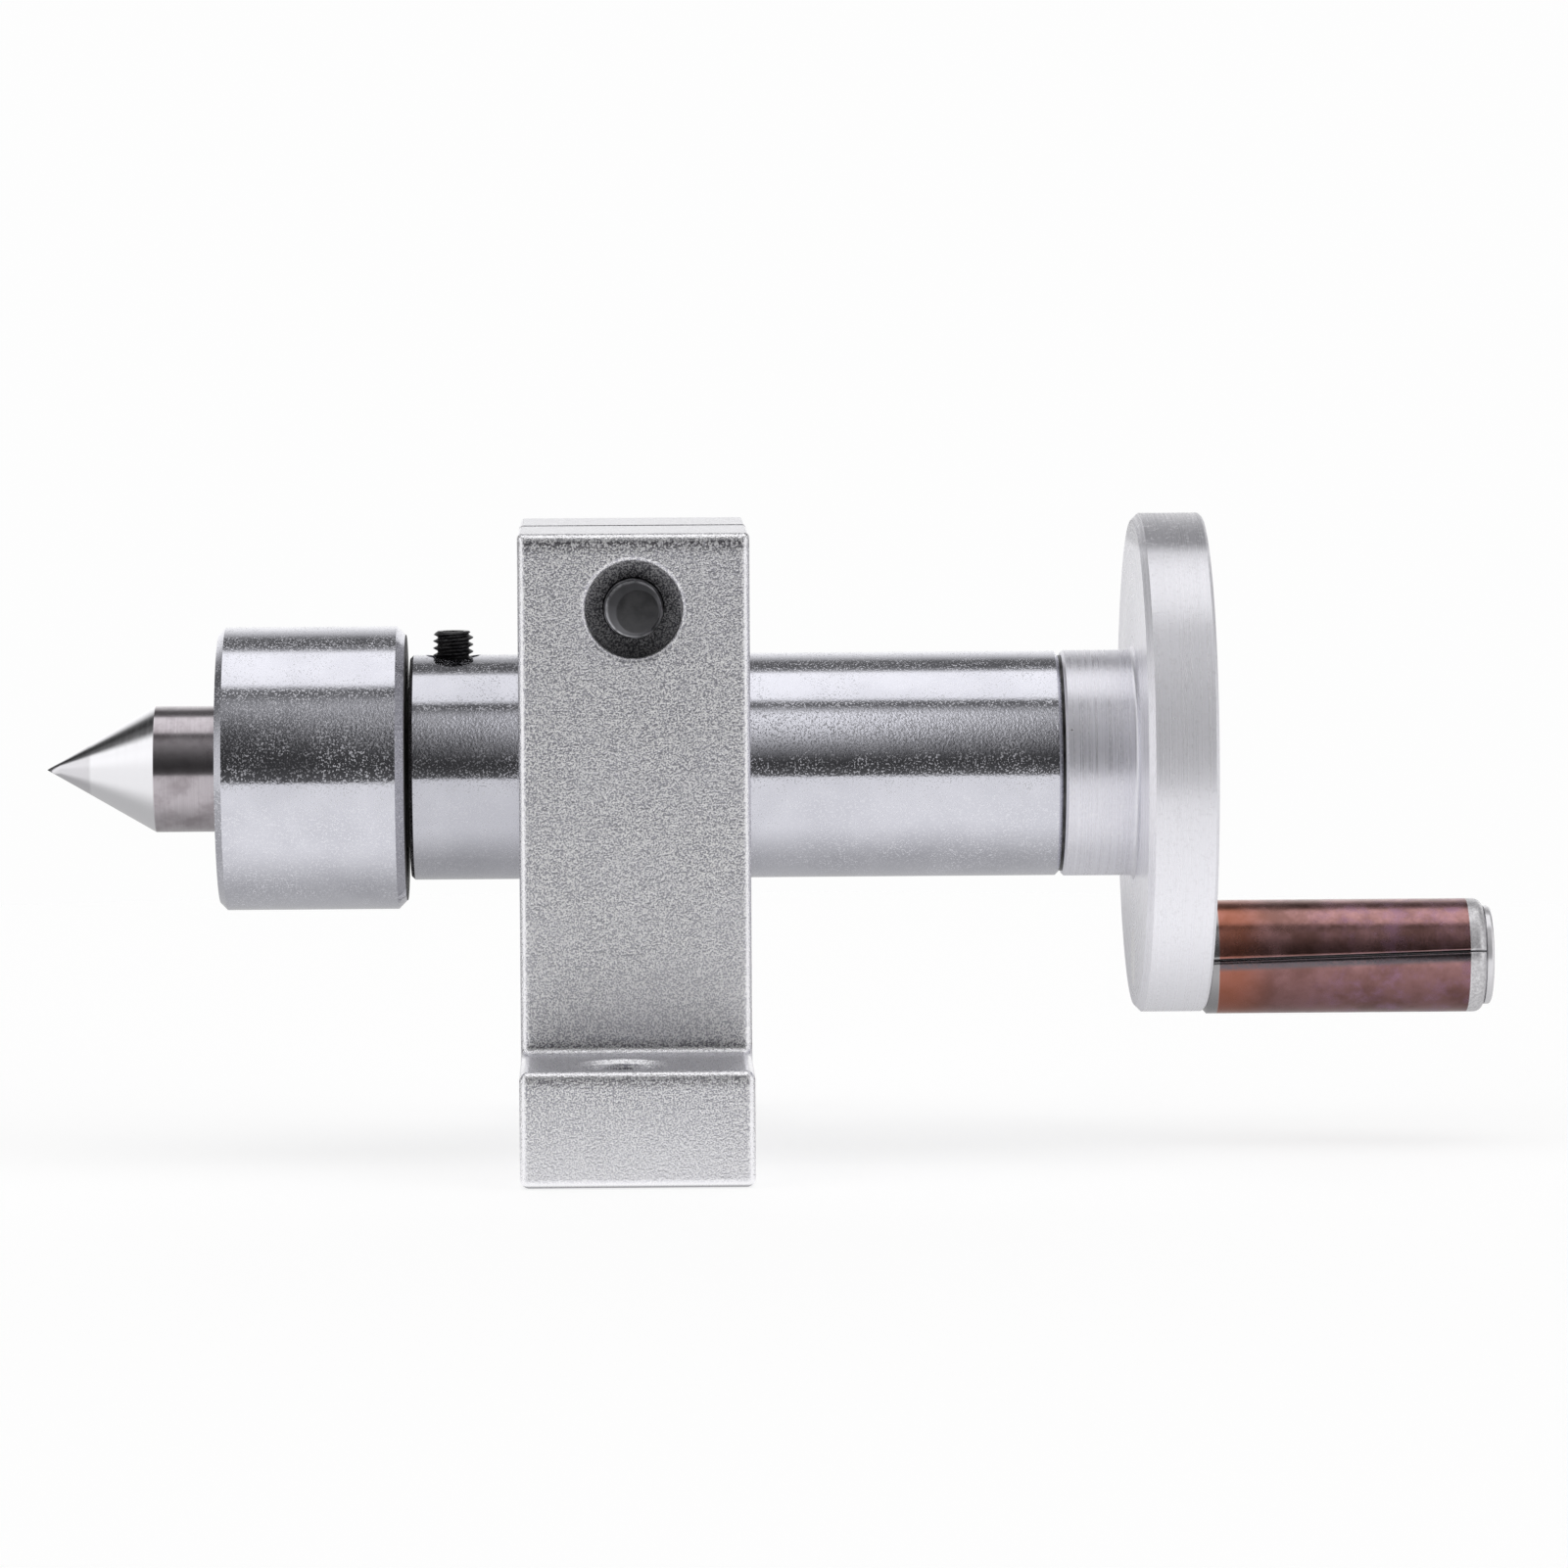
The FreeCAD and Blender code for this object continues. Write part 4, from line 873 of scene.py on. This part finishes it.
def sky_by_elevation(tree, turn):
    """The sky's level for an elevation about the X axis."""
    ramp = add(tree, "ValToRGB", {0: spread(tree, turn, -90.0, 270.0, smooth=False)})
    elements = ramp.color_ramp.elements
    while len(elements) < len(SKY_LEVELS):
        elements.new(0.5)
    for element, (angle, level) in zip(elements, SKY_LEVELS):
        grey = level / SKY_TOP
        element.position = (angle + 90) / 360
        element.color = (grey, grey, grey, 1)
    return times(tree, ramp.outputs[0], SKY_TOP)


def make_sky():
    """Studio surroundings: a long soft box overhead, a light wall behind the object,
    a dim room behind the camera, and pale paper where the camera looks past it."""
    world = bpy.data.worlds.new("studio")
    bpy.context.scene.world = world
    world.use_nodes = True
    tree = world.node_tree
    tree.nodes.clear()
    direction = add(tree, "SeparateXYZ", {0: add(tree, "TexCoord").outputs["Generated"]})
    across, side, up = direction.outputs[0], direction.outputs[1], direction.outputs[2]
    outward = maths(tree, "ABSOLUTE", across)
    # elevation about the X axis: 0 to the front, 90 overhead, 180 to the back wall
    turn = times(tree, maths(tree, "ARCTAN2", up, times(tree, side, -1.0)), 180 / math.pi)
    from_strip = maths(tree, "DIVIDE", minus(tree, across, STRIP_ACROSS), STRIP_WIDTH)
    strip = maths(tree, "EXPONENT", times(tree, from_strip, from_strip, -1.0))
    strip = times(tree, strip, spread(tree, turn, 4.0, 48.0), fade(tree, turn, 56.0, 68.0),
                  STRIP_LEVEL)
    level = plus(tree, sky_by_elevation(tree, turn), strip)
    # soft boxes at both ends of the table
    ends = spread(tree, outward, 0.40, 0.90)
    end_box = times(tree, spread(tree, up, 0.0, 0.4, 1.05, 1.25),
                    spread(tree, side, -0.05, 0.25, 1.0, 0.2))
    level = plus(tree, times(tree, level, minus(tree, 1.0, ends)), times(tree, ends, end_box))
    # the overhead box stops short of the back at both ends
    back_end = times(tree, spread(tree, outward, 0.42, 0.60), spread(tree, side, -0.08, 0.16),
                     spread(tree, up, 0.30, 0.55))
    level = times(tree, level, minus(tree, 1.0, times(tree, back_end, 0.85)))
    grey = add(tree, "CombineColor", {0: level, 1: level, 2: level}).outputs[0]
    lit = add(tree, "Background", {"Color": grey, "Strength": 1.0})
    paper = add(tree, "Background", {"Color": (PAPER, PAPER, PAPER, 1), "Strength": 1.0})
    seen = add(tree, "LightPath").outputs["Is Camera Ray"]
    mixed = add(tree, "MixShader", {0: seen, 1: lit.outputs[0], 2: paper.outputs[0]})
    output = add(tree, "OutputWorld")
    tree.links.new(mixed.outputs[0], output.inputs[0])


def make_camera():
    """A long lens in front of the -Y side, a little above and left of the middle."""
    data = bpy.data.cameras.new("camera")
    data.lens, data.sensor_width = 180.0, 36.0
    data.clip_start, data.clip_end = 0.01, 20.0
    camera = bpy.data.objects.new("camera", data)
    bpy.context.scene.collection.objects.link(camera)
    place = (-0.00216, -0.78346, 0.0957)
    yaw, pitch, roll = math.radians(1.255), math.radians(4.337), -0.0055
    aim = (Matrix.Rotation(-yaw, 4, "Z") @ Matrix.Rotation(math.pi / 2 - pitch, 4, "X")
           @ Matrix.Rotation(roll, 4, "Z"))
    camera.matrix_world = Matrix.Translation(place) @ aim
    bpy.context.scene.camera = camera
    bpy.context.scene.view_settings.view_transform = "Standard"


# ---------------------------------------------------------------------------
# Build
# ---------------------------------------------------------------------------
def dress_frame():
    """Give every CAD node its slot's procedural material."""
    skins = {slot: make() for slot, make in SKINS.items()}
    skins.update({slot: plain_metal(slot + "_skin", *looks)
                  for slot, looks in PLAIN_METALS.items()})
    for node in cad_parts.values():
        for slot in node.material_slots:
            name = slot.material.name.split(".")[0]
            slot.link = "OBJECT"
            slot.material = skins[name]
    return skins


make_camera()
make_floor()
make_sky()
skins = dress_frame()
make_screws(skins)
make_sleeve(skins)
